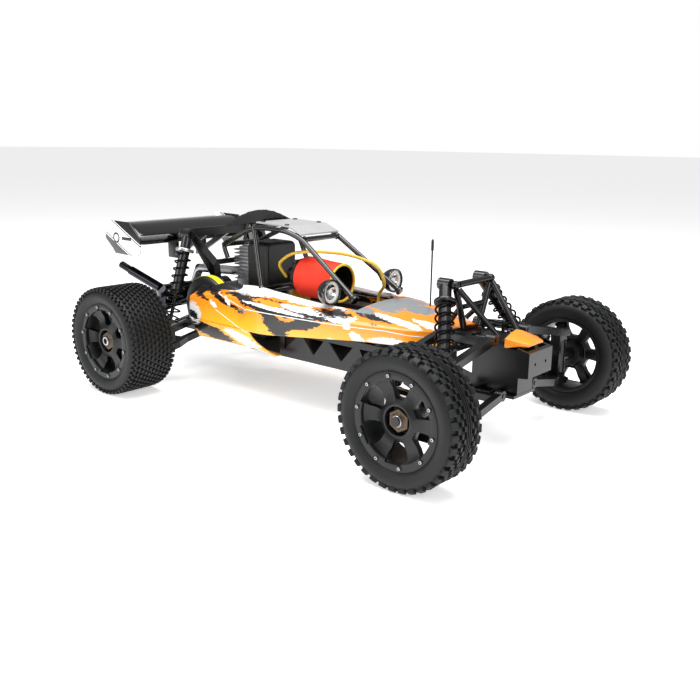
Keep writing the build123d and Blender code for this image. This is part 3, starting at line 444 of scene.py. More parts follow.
def aim(start, direction):
    """The place whose Z axis starts at a point and runs along a direction."""
    return Matrix.Translation(start) @ Vector(direction).to_track_quat("Z", "Y").to_matrix().to_4x4()


def ring_of(count, first=0.0):
    """Turns about Z that space copies evenly."""
    return [Matrix.Rotation(math.tau * (i + first) / count, 4, "Z") for i in range(count)]


def carry(piece, body, *stands_for):
    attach(piece, body)
    if stands_for:
        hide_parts(*stands_for)
    return piece


# %% [markdown]
# ## Wheels
# All four wheels share one rim: a barrel, a dished face with six spokes, a bead-lock ring held by ten
# screws, and a large hexagon nut in the hub. It is modelled once, with Z pointing out of the wheel and
# zero at the outer face of the tyre. The spokes are what is left after a boolean cuts six windows in a
# turned dish, which gives them the dish's own curve.

# %% The rim, modelled once
TYRE_RADIUS = 85
RING_RADIUS = 60
HUB_RADIUS = 20
SPOKES = 6
RING_SCREWS = 10


def make_rim(width, name):
    dish = turned([(-8, 52), (-13, 47), (-16, 38), (-14.5, 28), (-10.5, HUB_RADIUS + 1), (-9.5, HUB_RADIUS - 0.5),
                   (-10, 17.5), (-24, 17), (-24, 6.2), (-40, 6.2), (-40, 19), (-26, 21), (-23, 30), (-23, 40),
                   (-20, 48), (-18, 52), (-8, 52)])
    window = plate([(-6.2, 25.5), (6.2, 25.5), (14.6, 44), (13, 51.8), (0, 53.5), (-13, 51.8), (-14.6, 44)], 34)
    apply_modifier(window, "BEVEL", width=2.6 * MM, segments=3, limit_method="ANGLE")
    window.data.transform(Matrix.Translation((0, 0, -36 * MM)))
    cut(dish, copies(window, ring_of(SPOKES)))
    rib = slab((-6.5, 21, -26), (6.5, 50, -16.5))
    ribs = copies(rib, ring_of(SPOKES, 0.5))
    apply_modifier(ribs, "BEVEL", width=1.5 * MM, segments=2)
    barrel = turned([(-7, 57), (-7, 52), (-10, 50.5), (-width / 2, 49.5), (-width + 8, 51), (-width + 6, 57),
                     (-width + 9, 57.6), (-width + 12, 53), (-width / 2, 52), (-14, 53.5), (-10, 57.2), (-7, 57)])
    ring = turned([(-8, RING_RADIUS), (-5.6, RING_RADIUS), (-4.6, RING_RADIUS - 1), (-4.2, RING_RADIUS - 4),
                   (-4.2, 50), (-5, 48.8), (-8.5, 48.6), (-8.5, 55), (-8, RING_RADIUS)])
    notch = slab((-11.5, 44, -12), (11.5, 50.6, 0))
    cut(ring, copies(notch, ring_of(SPOKES)))
    seat = turned([(-5, 3.4), (-3.7, 3.1), (-3.4, 2.7), (-3.4, 0.1)], 16)
    seats = copies(seat, [turn_by @ Matrix.Translation((0, 54.3 * MM, 0)) for turn_by in ring_of(RING_SCREWS, 0.28)])
    rim = join([dish, ribs, barrel, ring, seats])
    finish_piece(rim, name, rim_nylon, bevel=0.5)
    return rim


def make_screws(name):
    head = turned([(-4, 2.2), (-2.4, 2.2), (-2.1, 1.9), (-2.1, 1.25), (-3.3, 1.15), (-3.3, 0.1)], 12)
    screws = copies(head, [turn_by @ Matrix.Translation((0, 54.3 * MM, 0))
                           for turn_by in ring_of(RING_SCREWS, 0.28)])
    return finish_piece(screws, name, steel, smooth=40)


def make_nut(name):
    nut = turned([(-23, 15.2), (-13, 15.2), (-12, 13.6), (-12, 10.5), (-11, 10.2), (-10.6, 9.2), (-10.6, 7.4),
                  (-23, 7.4), (-23, 15.2)], 6)
    return finish_piece(nut, name, bronze_nut, bevel=0.4)


def make_stub(name):
    stub = turned([(-24, 7.3), (-8.6, 7.3), (-7.8, 6.5), (-7.8, 4.6), (-18, 4.4), (-18, 0.1)], 32)
    return finish_piece(stub, name, steel, smooth=40)


print("rim helpers ready")

# %% [markdown]
# The front tyre is a ribbed one for steering: smooth round sidewalls, square shoulder blocks, rows of
# small blocks and three thin ribs round the middle. The rear tyre is a pin spike tyre for sand. Each
# block is a cube, tapered towards its top and bevelled, then copied round by a loop. The carcass is
# turned.

# %% Tyre carcass and tread
CARCASS_RADIUS = 81.2


def carcass(width):
    half = width / 2
    outer = [(-6, 58), (-4.6, 60.6), (-3.2, 61.6), (-2.2, 63.5), (-0.8, 67), (-0.2, 70.5), (-0.6, 74), (-2.2, 77.4),
             (-5.4, 80.0), (-10, CARCASS_RADIUS), (-half, CARCASS_RADIUS + 0.6)]
    inner = [(-width - height, radius) for height, radius in reversed(outer[:-1])]
    lining = [(-width + 8, 58), (-width + 5, 66), (-width + 9, 76), (-9, 76), (-5, 66), (-8, 58)]
    return turned([*outer, *inner, *lining, outer[0]], 128)


def row(block_size, height, depth, count, first=0.0, lean=0.0):
    """One row of tread blocks: size is (across, along), depth its distance in from the outer face."""
    across, along = block_size
    block = slab((-along / 2, -across / 2, -2.5), (along / 2, across / 2, height), taper=0.86)
    apply_modifier(block, "BEVEL", width=0.5 * MM, segments=1)
    block.data.transform(Matrix.Rotation(math.radians(lean), 4, "X"))
    stand = Matrix.Translation((0, CARCASS_RADIUS * MM, -depth * MM)) @ Matrix.Rotation(math.radians(-90), 4, "X")
    return copies(block, [turn_by @ stand for turn_by in ring_of(count, first)])


def make_front_tyre(name):
    width = 60
    parts = [carcass(width)]
    for mirrored_row in (False, True):
        def depth(value):
            return width - value if mirrored_row else value
        tilt = -1 if mirrored_row else 1
        parts.append(row((7.6, 9.6), 3.2, depth(5.4), 36, lean=32 * tilt))
        parts.append(row((5.4, 8.6), 3.6, depth(11.6), 36, 0.5, lean=12 * tilt))
        parts.append(row((4.4, 7.6), 3.7, depth(17.6), 36))
        parts.append(row((3.6, 7.2), 3.6, depth(22.6), 36, 0.5))
    for rib_depth in (26.4, 30, 33.6):
        parts.append(turned([(-rib_depth - 0.9, CARCASS_RADIUS - 1), (-rib_depth - 0.7, TYRE_RADIUS - 0.8),
                             (-rib_depth - 0.3, TYRE_RADIUS - 0.4), (-rib_depth + 0.3, TYRE_RADIUS - 0.4),
                             (-rib_depth + 0.7, TYRE_RADIUS - 0.8), (-rib_depth + 0.9, CARCASS_RADIUS - 1),
                             (-rib_depth - 0.9, CARCASS_RADIUS - 1)], 96))
    tyre = join(parts)
    return finish_piece(tyre, name, tyre_rubber, smooth=40)


def make_rear_tyre(name):
    width = 80
    parts = [carcass(width)]
    for line in range(10):
        depth = 6.4 + line * 7.45
        edge = {0: 1, 9: -1}.get(line, 0)
        parts.append(row((4.6, 5.2), 4.0 - 0.5 * abs(edge), depth, 56, 0.5 * (line % 2), lean=24 * edge))
    parts.append(row((4.4, 5.4), 2.2, 2.2, 56, 0.5, lean=50))
    parts.append(row((4.4, 5.4), 2.2, width - 2.2, 56, 0.5, lean=-50))
    tyre = join(parts)
    return finish_piece(tyre, name, tyre_rubber, smooth=40)


print("tyre helpers ready")

# %% [markdown]
# One wheel of each kind is made at the origin. Each corner of the buggy then takes a copy with a mesh
# of its own. The outer face points to +Y on the left and to -Y on the right, so the left wheel is
# turned one way and the right wheel the other, and neither is mirrored.

# %% The four wheels
HALF_WIDTH = 240
TRACK = {"front": (make_front_tyre("front_tyre_form"), 60), "rear": (make_rear_tyre("rear_tyre_form"), 80)}
SIDES = {"left": 1, "right": -1}

for end, (tyre_form, width) in TRACK.items():
    forms = {"tyre": tyre_form, "rim": make_rim(width, "rim_form"), "ring_screws": make_screws("screws_form"),
             "wheel_nut": make_nut("nut_form"), "stub_axle": make_stub("stub_form")}
    for side, sign in SIDES.items():
        axle = middle_of(f"{end}_{side}_tyre")
        place = aim((axle.x, sign * HALF_WIDTH * MM, axle.z), (0, sign, 0))
        for form_name, form in forms.items():
            piece = form.copy()
            piece.data = form.data.copy()
            piece.name = f"{end}_{side}_{form_name}_visual"
            piece.data.transform(place)
            bpy.context.collection.objects.link(piece)
            stands_for = [f"{end}_{side}_{form_name}"] if form_name in ("tyre", "rim") else []
            carry(piece, f"{end}_{side}_wheel", *stands_for)
    for form in forms.values():
        bpy.data.objects.remove(form)

# %% [markdown]
# ## Bodywork
# The body is thin polycarbonate, vacuum-formed and covered with printed vinyl. Each panel is a skin
# laid over cross-sections: a grid primitive has one row of vertices for each section, and its vertices
# are set on the sections. The few stations that shape the buggy are joined by a smooth curve, so that
# the long flank has no corners along its length. Solidify then gives the skin its wall.

# %% Skins over cross-sections
def skin(sections, wall=0.0):
    """A skin over sections, each a list of (x, y, z) from the middle of the wheelbase in millimetres;
    where a section ends at its own start the skin is a closed tube with flat ends."""
    clear_selection()
    rows, columns = len(sections), len(sections[0])
    bpy.ops.mesh.primitive_grid_add(x_subdivisions=columns - 1, y_subdivisions=rows - 1, size=1)
    piece = bpy.context.object
    places = [at(*point) for section in sections for point in section]
    for vertex, place in zip(piece.data.vertices, places):
        vertex.co = place
    bpy.ops.object.mode_set(mode="EDIT")
    bpy.ops.mesh.select_all(action="SELECT")
    bpy.ops.mesh.remove_doubles(threshold=0.01 * MM)
    if not wall:
        bpy.ops.mesh.fill_holes(sides=0)
    bpy.ops.mesh.select_all(action="SELECT")
    bpy.ops.mesh.normals_make_consistent(inside=False)
    bpy.ops.object.mode_set(mode="OBJECT")
    if wall:
        apply_modifier(piece, "SOLIDIFY", thickness=wall * MM, offset=0)
    return piece


def smooth_between(stations, x):
    """The values of the stations at x, on a curve that passes through every station."""
    after = next((i for i, station in enumerate(stations) if station[0] >= x), len(stations) - 1)
    after = max(after, 1)
    near = [stations[max(0, min(len(stations) - 1, after + k))] for k in (-2, -1, 0, 1)]
    span = near[2][0] - near[1][0]
    t = (x - near[1][0]) / span

    def slope(before, past, column):
        run = past[0] - before[0]
        return (past[column] - before[column]) / run * span if run else 0

    values = []
    for column in range(1, len(stations[0])):
        start, end = near[1][column], near[2][column]
        leave, arrive = slope(near[0], near[2], column), slope(near[1], near[3], column)
        values.append((2 * t ** 3 - 3 * t ** 2 + 1) * start + (t ** 3 - 2 * t ** 2 + t) * leave
                      + (3 * t ** 2 - 2 * t ** 3) * end + (t ** 3 - t ** 2) * arrive)
    return values


def steps(start, end, count):
    return [start + (end - start) * i / count for i in range(count + 1)]


def mirrored_pair(piece):
    """Join a right-hand piece with its mirror image on the left."""
    other = piece.copy()
    other.data = piece.data.copy()
    bpy.context.collection.objects.link(other)
    other.data.transform(Matrix.Diagonal((1, -1, 1, 1)))
    other.data.flip_normals()
    return join([piece, other])


print("skin helpers ready")

# %% [markdown]
# The print on the body is orange torn open over black and white. A torn edge is a smooth shape whose
# outline a streaky noise eats into. Every patch is an ellipsoid: its distance runs from 0 in its middle
# to 1 at its skin, the nearest patch wins, and the noise is added before the cut. The layers then go on
# as a printer lays ink: orange, black, white, grey, and last the thin white character line.

# %% Printed vinyl
def printed_body():
    made, tree, shader, place = new_material("printed vinyl on polycarbonate, gloss")
    where = add_node(tree, "ShaderNodeMapping", Vector=place, Location=(-BASE_X / MM, 0, 0), Scale=(1 / MM,) * 3)
    parts = add_node(tree, "ShaderNodeSeparateXYZ", Vector=where.outputs["Vector"])
    x, z = parts.outputs["X"], parts.outputs["Z"]
    side = add_node(tree, "ShaderNodeMath", operation="ABSOLUTE", i0=parts.outputs["Y"]).outputs[0]
    folded = add_node(tree, "ShaderNodeCombineXYZ", X=x, Y=side, Z=z).outputs[0]

    def noise(size_mm, stretch, detail):
        pulled = add_node(tree, "ShaderNodeMapping", Vector=folded, Scale=stretch)
        return add_node(tree, "ShaderNodeTexNoise", Vector=pulled.outputs[0], Scale=1 / size_mm, Detail=detail,
                        Roughness=0.75).outputs["Fac"]

    coarse = noise(16, (0.5, 1, 1.5), 6.0)
    fine = noise(4.5, (0.45, 1, 1.9), 4.0)
    torn = add_node(tree, "ShaderNodeMath", operation="ADD", i0=coarse, i1=fine).outputs[0]
    raggedness = add_node(tree, "ShaderNodeMath", operation="SUBTRACT", i0=torn, i1=1.0).outputs[0]

    def layer(below, ink, patches, ragged):
        nearest = None
        for middle, reach, lean in patches:
            local = add_node(tree, "ShaderNodeMapping", vector_type="TEXTURE", Vector=folded, Location=middle,
                             Rotation=(0, math.radians(lean), 0), Scale=reach)
            distance = add_node(tree, "ShaderNodeVectorMath", operation="LENGTH", i0=local.outputs[0])
            away = distance.outputs["Value"]
            if nearest is not None:
                away = add_node(tree, "ShaderNodeMath", operation="MINIMUM", i0=nearest, i1=away).outputs[0]
            nearest = away
        eaten = add_node(tree, "ShaderNodeMath", operation="MULTIPLY_ADD", i0=raggedness, i1=ragged, i2=nearest)
        mask = add_node(tree, "ShaderNodeMapRange", Value=eaten.outputs[0], i1=1.01, i2=0.99, i3=0.0, i4=1.0)
        return over(below, ink, mask.outputs["Result"])

    def over(below, ink, mask):
        ink = colour(ink) if isinstance(ink, str) else ink
        return add_node(tree, "ShaderNodeMix", data_type="RGBA", i0=mask, i6=below, i7=ink).outputs[2]

    def stripe(below, ink, middle_z, rise, from_x, to_x, half):
        """A thin printed line along the flank, at middle_z where it starts and rising along x."""
        line_z = add_node(tree, "ShaderNodeMath", operation="MULTIPLY_ADD", i0=x, i1=rise,
                          i2=middle_z - rise * from_x).outputs[0]
        off = add_node(tree, "ShaderNodeMath", operation="SUBTRACT", i0=z, i1=line_z).outputs[0]
        gap = add_node(tree, "ShaderNodeMath", operation="ABSOLUTE", i0=off).outputs[0]
        wide = add_node(tree, "ShaderNodeMath", operation="MULTIPLY_ADD", i0=raggedness, i1=0.8, i2=gap).outputs[0]
        inside = add_node(tree, "ShaderNodeMath", operation="LESS_THAN", i0=wide, i1=half).outputs[0]
        start = add_node(tree, "ShaderNodeMath", operation="GREATER_THAN", i0=x, i1=from_x).outputs[0]
        end = add_node(tree, "ShaderNodeMath", operation="LESS_THAN", i0=x, i1=to_x).outputs[0]
        both = add_node(tree, "ShaderNodeMath", operation="MULTIPLY", i0=start, i1=end).outputs[0]
        flank = add_node(tree, "ShaderNodeMath", operation="GREATER_THAN", i0=side, i1=52.0).outputs[0]
        all_three = add_node(tree, "ShaderNodeMath", operation="MULTIPLY", i0=both, i1=flank).outputs[0]
        mask = add_node(tree, "ShaderNodeMath", operation="MULTIPLY", i0=inside, i1=all_three).outputs[0]
        return over(below, ink, mask)

    low_glow = add_node(tree, "ShaderNodeMapRange", Value=z, i1=118.0, i2=150.0, i3=0.0, i4=1.0)
    print_ = over(colour("#ffb52c"), "#f58a12", low_glow.outputs["Result"])
    print_ = layer(print_, "#c95f0c", [((235, 30, 150), (14, 12, 12), 0)], 0.6)
    print_ = layer(print_, "#0b0b0c", BLACK_TEARS, 1.5)
    print_ = layer(print_, "#eeeeef", WHITE_TEARS, 1.7)
    print_ = layer(print_, "#7f8385", GREY_TEARS, 1.6)
    print_ = layer(print_, "#f7921a", ORANGE_FLECKS, 2.2)
    print_ = layer(print_, "#17171a", BLACK_FLECKS, 2.6)
    print_ = stripe(print_, "#f4f4f4", 161, -0.25, -168, -97, 0.55)
    print_ = stripe(print_, "#f4f4f4", 144.2, 0.004, -97, 150, 0.55)
    print_ = stripe(print_, "#f4f4f4", 145.2, -0.11, 150, 207, 0.6)
    print_ = stripe(print_, "#f4f4f4", 134, -0.36, -168, -96, 0.5)
    tree.links.new(print_, shader.inputs["Base Color"])
    ripple = add_node(tree, "ShaderNodeTexNoise", Vector=place, Scale=per_metre(26), Detail=1.0)
    relief = add_node(tree, "ShaderNodeBump", Height=ripple.outputs["Fac"], Strength=0.06, Distance=1 * MM)
    tree.links.new(relief.outputs["Normal"], shader.inputs["Normal"])
    shader.inputs["Roughness"].default_value = 0.3
    shader.inputs["Coat Weight"].default_value = 0.35
    shader.inputs["Coat Roughness"].default_value = 0.06
    return made


# each tear is its middle, its reach along x, y and z, and its lean in degrees
BLACK_TEARS = (
    ((-206, 104, 160), (52, 24, 13), 8), ((-128, 100, 168), (50, 12, 12), 10), ((-66, 104, 155), (60, 30, 9.5), 4),
    ((-38, 105, 132), (32, 26, 14), 36), ((4, 104, 135), (46, 26, 9), -12), ((-8, 103, 148), (52, 26, 6), 3),
    ((40, 92, 152), (44, 22, 6), 4), ((120, 70, 161), (46, 12, 6), 5), ((-190, 100, 96), (60, 12, 14), 15),
    ((-150, 107, 150), (34, 30, 4), 14),
)
WHITE_TEARS = (
    ((0, 72, 168), (70, 17, 9), 2), ((-120, 74, 170), (66, 20, 12), 2), ((76, 92, 157), (24, 22, 10), 0),
    ((92, 92, 147), (8, 20, 6), 60), ((108, 90, 130), (11, 20, 7), 30), ((150, 79, 130), (26, 20, 6), 0),
    ((165, 60, 156), (60, 8, 5), 6), ((-224, 106, 122), (20, 30, 15), 30), ((-110, 100, 92), (46, 14, 10), 20),
    ((-40, 100, 152), (60, 30, 2.6), 3), ((195, 40, 153), (26, 9, 4), 4), ((-176, 107, 146), (5, 30, 12), -42),
    ((-140, 107, 151), (4, 30, 10), -42), ((10, 96, 156), (50, 20, 3), 2), ((64, 75, 122), (10, 20, 4), 0),
)
GREY_TEARS = (((112, 20, 168), (34, 34, 12), 0), ((96, 62, 166), (26, 14, 8), 0), ((150, 8, 163), (30, 16, 8), 0))
ORANGE_FLECKS = (((-62, 100, 158), (28, 16, 3), 4), ((-6, 103, 141), (10, 20, 3), -20), ((84, 82, 159), (12, 14, 4), 0),
                 ((-184, 107, 153), (26, 20, 5), 14), ((-128, 107, 155), (16, 20, 5), 14))
BLACK_FLECKS = (((-222, 106, 118), (12, 20, 6), 20), ((60, 88, 158), (26, 18, 5), 0), ((128, 76, 150), (10, 12, 3), 0))
body_print = printed_body()
print("print made of", len(body_print.node_tree.nodes), "nodes")

# %% [markdown]
# The flanks run from beside the gear cover to the front shock tower. A station is x, then the cockpit
# lip, the deck's edge, the shoulder and the sill as pairs of y and z. The lip turns down into the
# cockpit, and the sill turns in under the flank, as a formed shell does for stiffness.

# %% Flanks
FLANK_STATIONS = (
    (-232, 92, 152, 104, 147, 106, 112), (-190, 72, 165, 104, 156, 107, 112), (-130, 58, 171, 104, 160, 108, 113),
    (-64, 66, 170, 106, 152.5, 109, 112), (20, 69, 165, 103, 151, 102, 119), (110, 62, 162, 91, 150, 89, 126),
    (180, 44.5, 155, 70, 149, 69, 127), (203, 30, 152, 50, 147.5, 49, 128), (230, 26.5, 149.5, 33.5, 146, 33, 131),
)


def between(a, b, share):
    return (a[0] + (b[0] - a[0]) * share, a[1] + (b[1] - a[1]) * share)


def flank_section(x):
    deck_y, deck_z, shoulder_y, shoulder_z, sill_y, sill_z = smooth_between(FLANK_STATIONS, x)
    deck, shoulder, sill = (deck_y, deck_z), (shoulder_y, shoulder_z), (sill_y, sill_z)
    crease = between(shoulder, sill, 0.22)
    edge = [(deck_y - 1, deck_z - 6), between(deck, (deck_y - 1, deck_z - 6), 0.25), between(deck, shoulder, 0.05)]
    top = [between(deck, shoulder, share) for share in (0.3, 0.6, 0.93)]
    flank = [between(shoulder, sill, 0.05), (crease[0] + 0.8, crease[1]), between(shoulder, sill, 0.6),
             between(shoulder, sill, 0.97), (sill_y - 1.5, sill_z - 0.4), (sill_y - 5, sill_z + 0.6)]
    return [(x, -y, z) for y, z in edge + top + flank]


def pan_section(x):
    """The lower side pan, whose front end is swept back in a round."""
    swept = min(1, max(0, (x + 92) / 48))
    top_share = 1 - math.sqrt(max(0, 1 - (1 - swept) ** 2)) if swept else 1
    sill, keel = (107.5, 111.5), (92 + 2 * swept, 81 - 3 * swept)
    top = between(keel, sill, 0.04 + 0.96 * top_share)
    bulge = between(keel, top, 0.5)
    inner = (keel[0] - 9, keel[1] - 0.6)
    return [(x, -y, z) for y, z in (top, between(top, bulge, 0.5), (bulge[0] + 1.4, bulge[1] - 0.6),
                                    between(keel, bulge, 0.4), keel, inner)]


flank_piece = skin([flank_section(x) for x in steps(-232, 230, 66)], wall=1.4)
pan_piece = skin([pan_section(x) for x in [*steps(-226, -92, 10)[:-1], *steps(-92, -44.5, 16)]], wall=1.4)
for piece, name in ((flank_piece, "body_flanks_visual"), (pan_piece, "side_pans_visual")):
    pair = mirrored_pair(piece)
    finish_piece(pair, name, body_print, smooth=28)
    carry(pair, "frame", "body_shell")

# %% Hood and nose
HOOD = ((88, 66, 162.3, 168.5), (110, 63, 161, 168), (150, 52.5, 157.5, 163.5), (180, 43.5, 154, 160),
        (206, 28, 150.5, 156), (230, 25, 149, 153))


def hood_section(x):
    half, edge_z, ridge_z = smooth_between(HOOD, x)
    return [(x, half * share, edge_z + (ridge_z - edge_z) * (1 - abs(share) ** 1.7))
            for share in (-1, -0.97, -0.8, -0.55, -0.25, 0, 0.25, 0.55, 0.8, 0.97, 1)]


hood = skin([hood_section(x) for x in steps(88, 230, 24)], wall=1.4)
finish_piece(hood, "hood_visual", body_print, smooth=30)
carry(hood, "frame", "body_shell")

nose_sections = []
for x, half, low, mid, top in ((303, 27, 138.5, 150, 158), (305, 27.6, 138, 150.5, 158.4), (322, 25, 142, 148, 151.5),
                               (333, 19.6, 142, 145.4, 147.4), (334.4, 18.4, 142.6, 145, 146.8)):
    nose_sections.append([(x, half, low), (x, half, mid), (x, half * 0.5, (mid + top) / 2 + 0.8), (x, 0, top),
                          (x, -half * 0.5, (mid + top) / 2 + 0.8), (x, -half, mid), (x, -half, low), (x, half, low)])
nose = skin(nose_sections)
finish_piece(nose, "nose_visual", body_print, bevel=0.5, smooth=32)
carry(nose, "frame", "body_shell")
print("body pieces:", [len(piece.data.polygons) for piece in (hood, nose)])

# %% [markdown]
# ## Coil springs
# Each shock has a coil spring of black oiled wire. A real one is wound on a mandrel: a wire circle is
# swept round the axis while it climbs, which is what the screw modifier does. The spring is held by
# the shock's collar at one end and by the plunger's perch at the other, so it stretches between them.

# %% Coil springs
SHOCK_ENDS = {"front": ((220, 44, 213.5), (278, 128, 80)), "rear": ((-262, 80, 243), (-262, 128, 88))}
COLLAR_FROM_TOP = 30
PERCH_FROM_END = 20
COIL_RADIUS = 12
WIRE_RADIUS = 1.5
COIL_TURNS = 9


def shock_line(end, side):
    """The shock's upper eye, its direction and its length in millimetres."""
    sign = 1 if side == "left" else -1
    top, low = (at(x, sign * y, z) for x, y, z in SHOCK_ENDS[end])
    return top, (low - top).normalized(), (low - top).length / MM


for end in ("front", "rear"):
    for side in ("left", "right"):
        top, along, length = shock_line(end, side)
        run = length - COLLAR_FROM_TOP - PERCH_FROM_END - 2 * WIRE_RADIUS
        clear_selection()
        bpy.ops.mesh.primitive_circle_add(vertices=10, radius=WIRE_RADIUS * MM)
        spring = bpy.context.object
        bpy.ops.object.mode_set(mode="EDIT")
        bpy.ops.mesh.select_all(action="SELECT")
        bpy.ops.transform.rotate(value=math.pi / 2, orient_axis="X", center_override=(0, 0, 0))
        bpy.ops.transform.translate(value=(COIL_RADIUS * MM, 0, 0))
        bpy.ops.object.mode_set(mode="OBJECT")
        apply_modifier(spring, "SCREW", angle=math.tau, screw_offset=run / COIL_TURNS * MM,
                       iterations=COIL_TURNS, steps=32, render_steps=32)
        bpy.ops.object.mode_set(mode="EDIT")
        bpy.ops.mesh.select_all(action="SELECT")
        bpy.ops.mesh.remove_doubles(threshold=0.01 * MM)
        bpy.ops.mesh.fill_holes(sides=0)
        bpy.ops.mesh.select_all(action="SELECT")
        bpy.ops.mesh.normals_make_consistent(inside=False)
        bpy.ops.object.mode_set(mode="OBJECT")
        first_wire = top + along * (COLLAR_FROM_TOP + WIRE_RADIUS) * MM
        finish_piece(spring, f"{end}_{side}_coil_visual", spring_steel, aim(first_wire, along), smooth=60)
        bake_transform(spring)
        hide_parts(f"{end}_{side}_spring")
        collar = turned([(0, 12.2), (0, 14.2), (1, 14.8), (4, 14.8), (5, 14.2), (5, 12.2), (0, 12.2)], steps=48)
        finish_piece(collar, f"{end}_{side}_collar_visual", cast_alloy if end == "rear" else anodised_black,
                     aim(top + along * (COLLAR_FROM_TOP - 5.5) * MM, along), bevel=0.3)
        carry(collar, f"{end}_{side}_shock")
print("springs wound:", COIL_TURNS, "turns each")

# %% [markdown]
# ## Roll cage
# The cage is gloss enamelled steel tube. One long tube a side runs from the dash, over the roof and
# down to the rear stay, bent cold round a former; the cross tubes are coped and welded on with a
# small bead, shown as a swelling ring round each joint.

# %% Roll cage
ROOF_REAR, ROOF_BEND, ROOF_FRONT = (-142, 46, 262), (-70, 46, 260), (-42, 41, 249)
PILLAR_FOOT, REAR_PILLAR_FOOT = (72, 53.5, 174), (-111, 60, 168)
STAY_TOP_END, STAY_LOW_END = (-222, 40, 226), (-214, 38, 205)
CAGE_RADIUS = 4
cage = []
for sign in (1, -1):
    rail = [at(x, sign * y, z) for x, y, z in (PILLAR_FOOT, ROOF_FRONT, ROOF_BEND, ROOF_REAR, STAY_TOP_END,
                                               STAY_LOW_END)]
    cage.append(pipe(rail, CAGE_RADIUS, bend=0.42))
    cage.append(pipe([at(x, sign * y, z) for x, y, z in (ROOF_REAR, REAR_PILLAR_FOOT)], CAGE_RADIUS))
    for foot, above in ((PILLAR_FOOT, ROOF_FRONT), (REAR_PILLAR_FOOT, ROOF_REAR)):
        x, y, z = foot
        flange = turned([(-3, 6.2), (-1.5, 7), (0.5, 7), (2, 5), (5, 4.4), (5, 3)], steps=40)
        lean = at(above[0], sign * above[1], above[2]) - at(x, sign * y, z)
        flange.data.transform(aim(at(x, sign * y, z), lean))
        cage.append(flange)
for x, y, z in (ROOF_REAR, ROOF_FRONT, REAR_PILLAR_FOOT, STAY_TOP_END):
    cage.append(pipe([at(x, -y, z), at(x, y, z)], CAGE_RADIUS))
    for sign in (1, -1):
        bead = turned([(3.2, 3.8), (3.4, 5), (4.6, 5.4), (5.8, 4.9), (6.6, 3.9)], steps=32)
        bead.data.transform(aim(at(x, sign * y, z), (0, -sign, 0)))
        cage.append(bead)
cage_piece = join(cage)
finish_piece(cage_piece, "roll_cage_visual", tube_paint, smooth=60)
carry(cage_piece, "frame", "roll_cage")
print("cage faces:", len(cage_piece.data.polygons))

# %% [markdown]
# The roof plate is held by four cap screws with a hexagon socket, turned from black steel bar. The
# dust cover behind it is black cloth stretched over a hoop, with folds that run down from its crown.

# %% Roof screws and dust cover
screw = turned([(-1, 2), (-1, 3.6), (1.2, 3.6), (1.8, 3.1), (1.8, 0.3)], steps=40)
socket = turned([(0.6, 1.6), (3, 1.6)], steps=6)
cut(screw, socket)
SCREW_ROWS = ((-131, 268.9), (-79, 267.7))
screws = copies(screw, [Matrix.Translation(at(x, y, z)) for x, z in SCREW_ROWS for y in (-36, 36)])
finish_piece(screws, "roof_screws_visual", anodised_black, bevel=0.15)
carry(screws, "frame")

cloth = grained("black nylon cloth, tight weave", "#0b0b0c", "#161617", 0.78, 1.1, 0.5, patch_mm=18,
                specular=0.25)


def cover_section(x):
    base = 257 + (x + 216) * 0.14
    rise = 22 * math.sqrt(max(0.02, 1 - ((x + 179) / 38) ** 2)) - 2
    points = []
    for step in range(25):
        share = step / 12 - 1
        fold = 0.7 * math.sin(step * 1.9 + x * 0.11) * (1 - abs(share)) + 0.3 * math.sin(x * 0.6 + step)
        points.append((x, 42 * share, base + rise * (1 - abs(share) ** 2.6) + fold))
    return points


cover = skin([cover_section(x) for x in steps(-215, -143, 30)], wall=1.0)
finish_piece(cover, "dust_cover_visual", cloth, smooth=50)
carry(cover, "frame", "dust_cover")
print("dust cover faces:", len(cover.data.polygons))

# %% [markdown]
# ## Air filter, gear cover and hose
# The filter is a drum in a red flocked sleeve, open at its nose, with a yellow hem round the mouth.
# The gear cover is a moulded cup with a raised rim; a yellow warning label is wrapped over its edge.

# %% Air filter
filter_foam = grained("black oiled filter foam", "#050505", "#0f0f0f", 0.9, 2.2, 0.9, specular=0.1)
yellow_hem = grained("yellow bound hem", "#d9c22e", "#f0dc4a", 0.6, 1.2, 0.4, specular=0.3)
red_sleeve = grained("red flocked sleeve", "#e02c14", "#ff4630", 0.6, 1.2, 0.45, specular=0.25)
drum_place = aim(at(-64, -8, 188), (1, 0, -0.04))
sleeve = turned([(74, 26.3), (30, 26), (30, 25), (0, 25), (0, 30.4), (1.2, 31.3), (6, 31.5), (20, 31), (24, 31.4),
                 (40, 30.4), (56, 29.9), (60, 30.2), (72, 29.6), (74, 29), (74, 26.3)])
hem = turned([(73, 26.2), (73, 29.4), (74.2, 30), (75.2, 29.2), (75.2, 26.6), (73, 26.2)])
foam = turned([(72.6, 25.8), (72.6, 25), (38, 24.4), (34, 20), (34, 0.4), (31, 0.4), (31, 25.8), (72.6, 25.8)])
clamp = turned([(-12, 9.2), (-12, 24), (-10.5, 26.6), (-8, 27), (-6.5, 26.2), (-5, 27), (-1.5, 27),
                (-0.2, 25.4), (-0.2, 9.2), (-12, 9.2)], steps=72)
neck = turned([(-34, 7), (-34, 9), (-31, 9.8), (-28, 9), (-25, 9.8), (-22, 9), (-19, 9.8), (-12.2, 9),
               (-12.2, 7), (-34, 7)], steps=48)
for piece, name, finish in ((sleeve, "filter_sleeve", red_sleeve), (hem, "filter_hem", yellow_hem),
                            (foam, "filter_foam", filter_foam), (clamp, "filter_clamp", frame_nylon),
                            (neck, "filter_neck", frame_nylon)):
    finish_piece(piece, name + "_visual", finish, drum_place, bevel=0.25)
    carry(piece, "frame", "air_filter")
print("filter pieces placed")

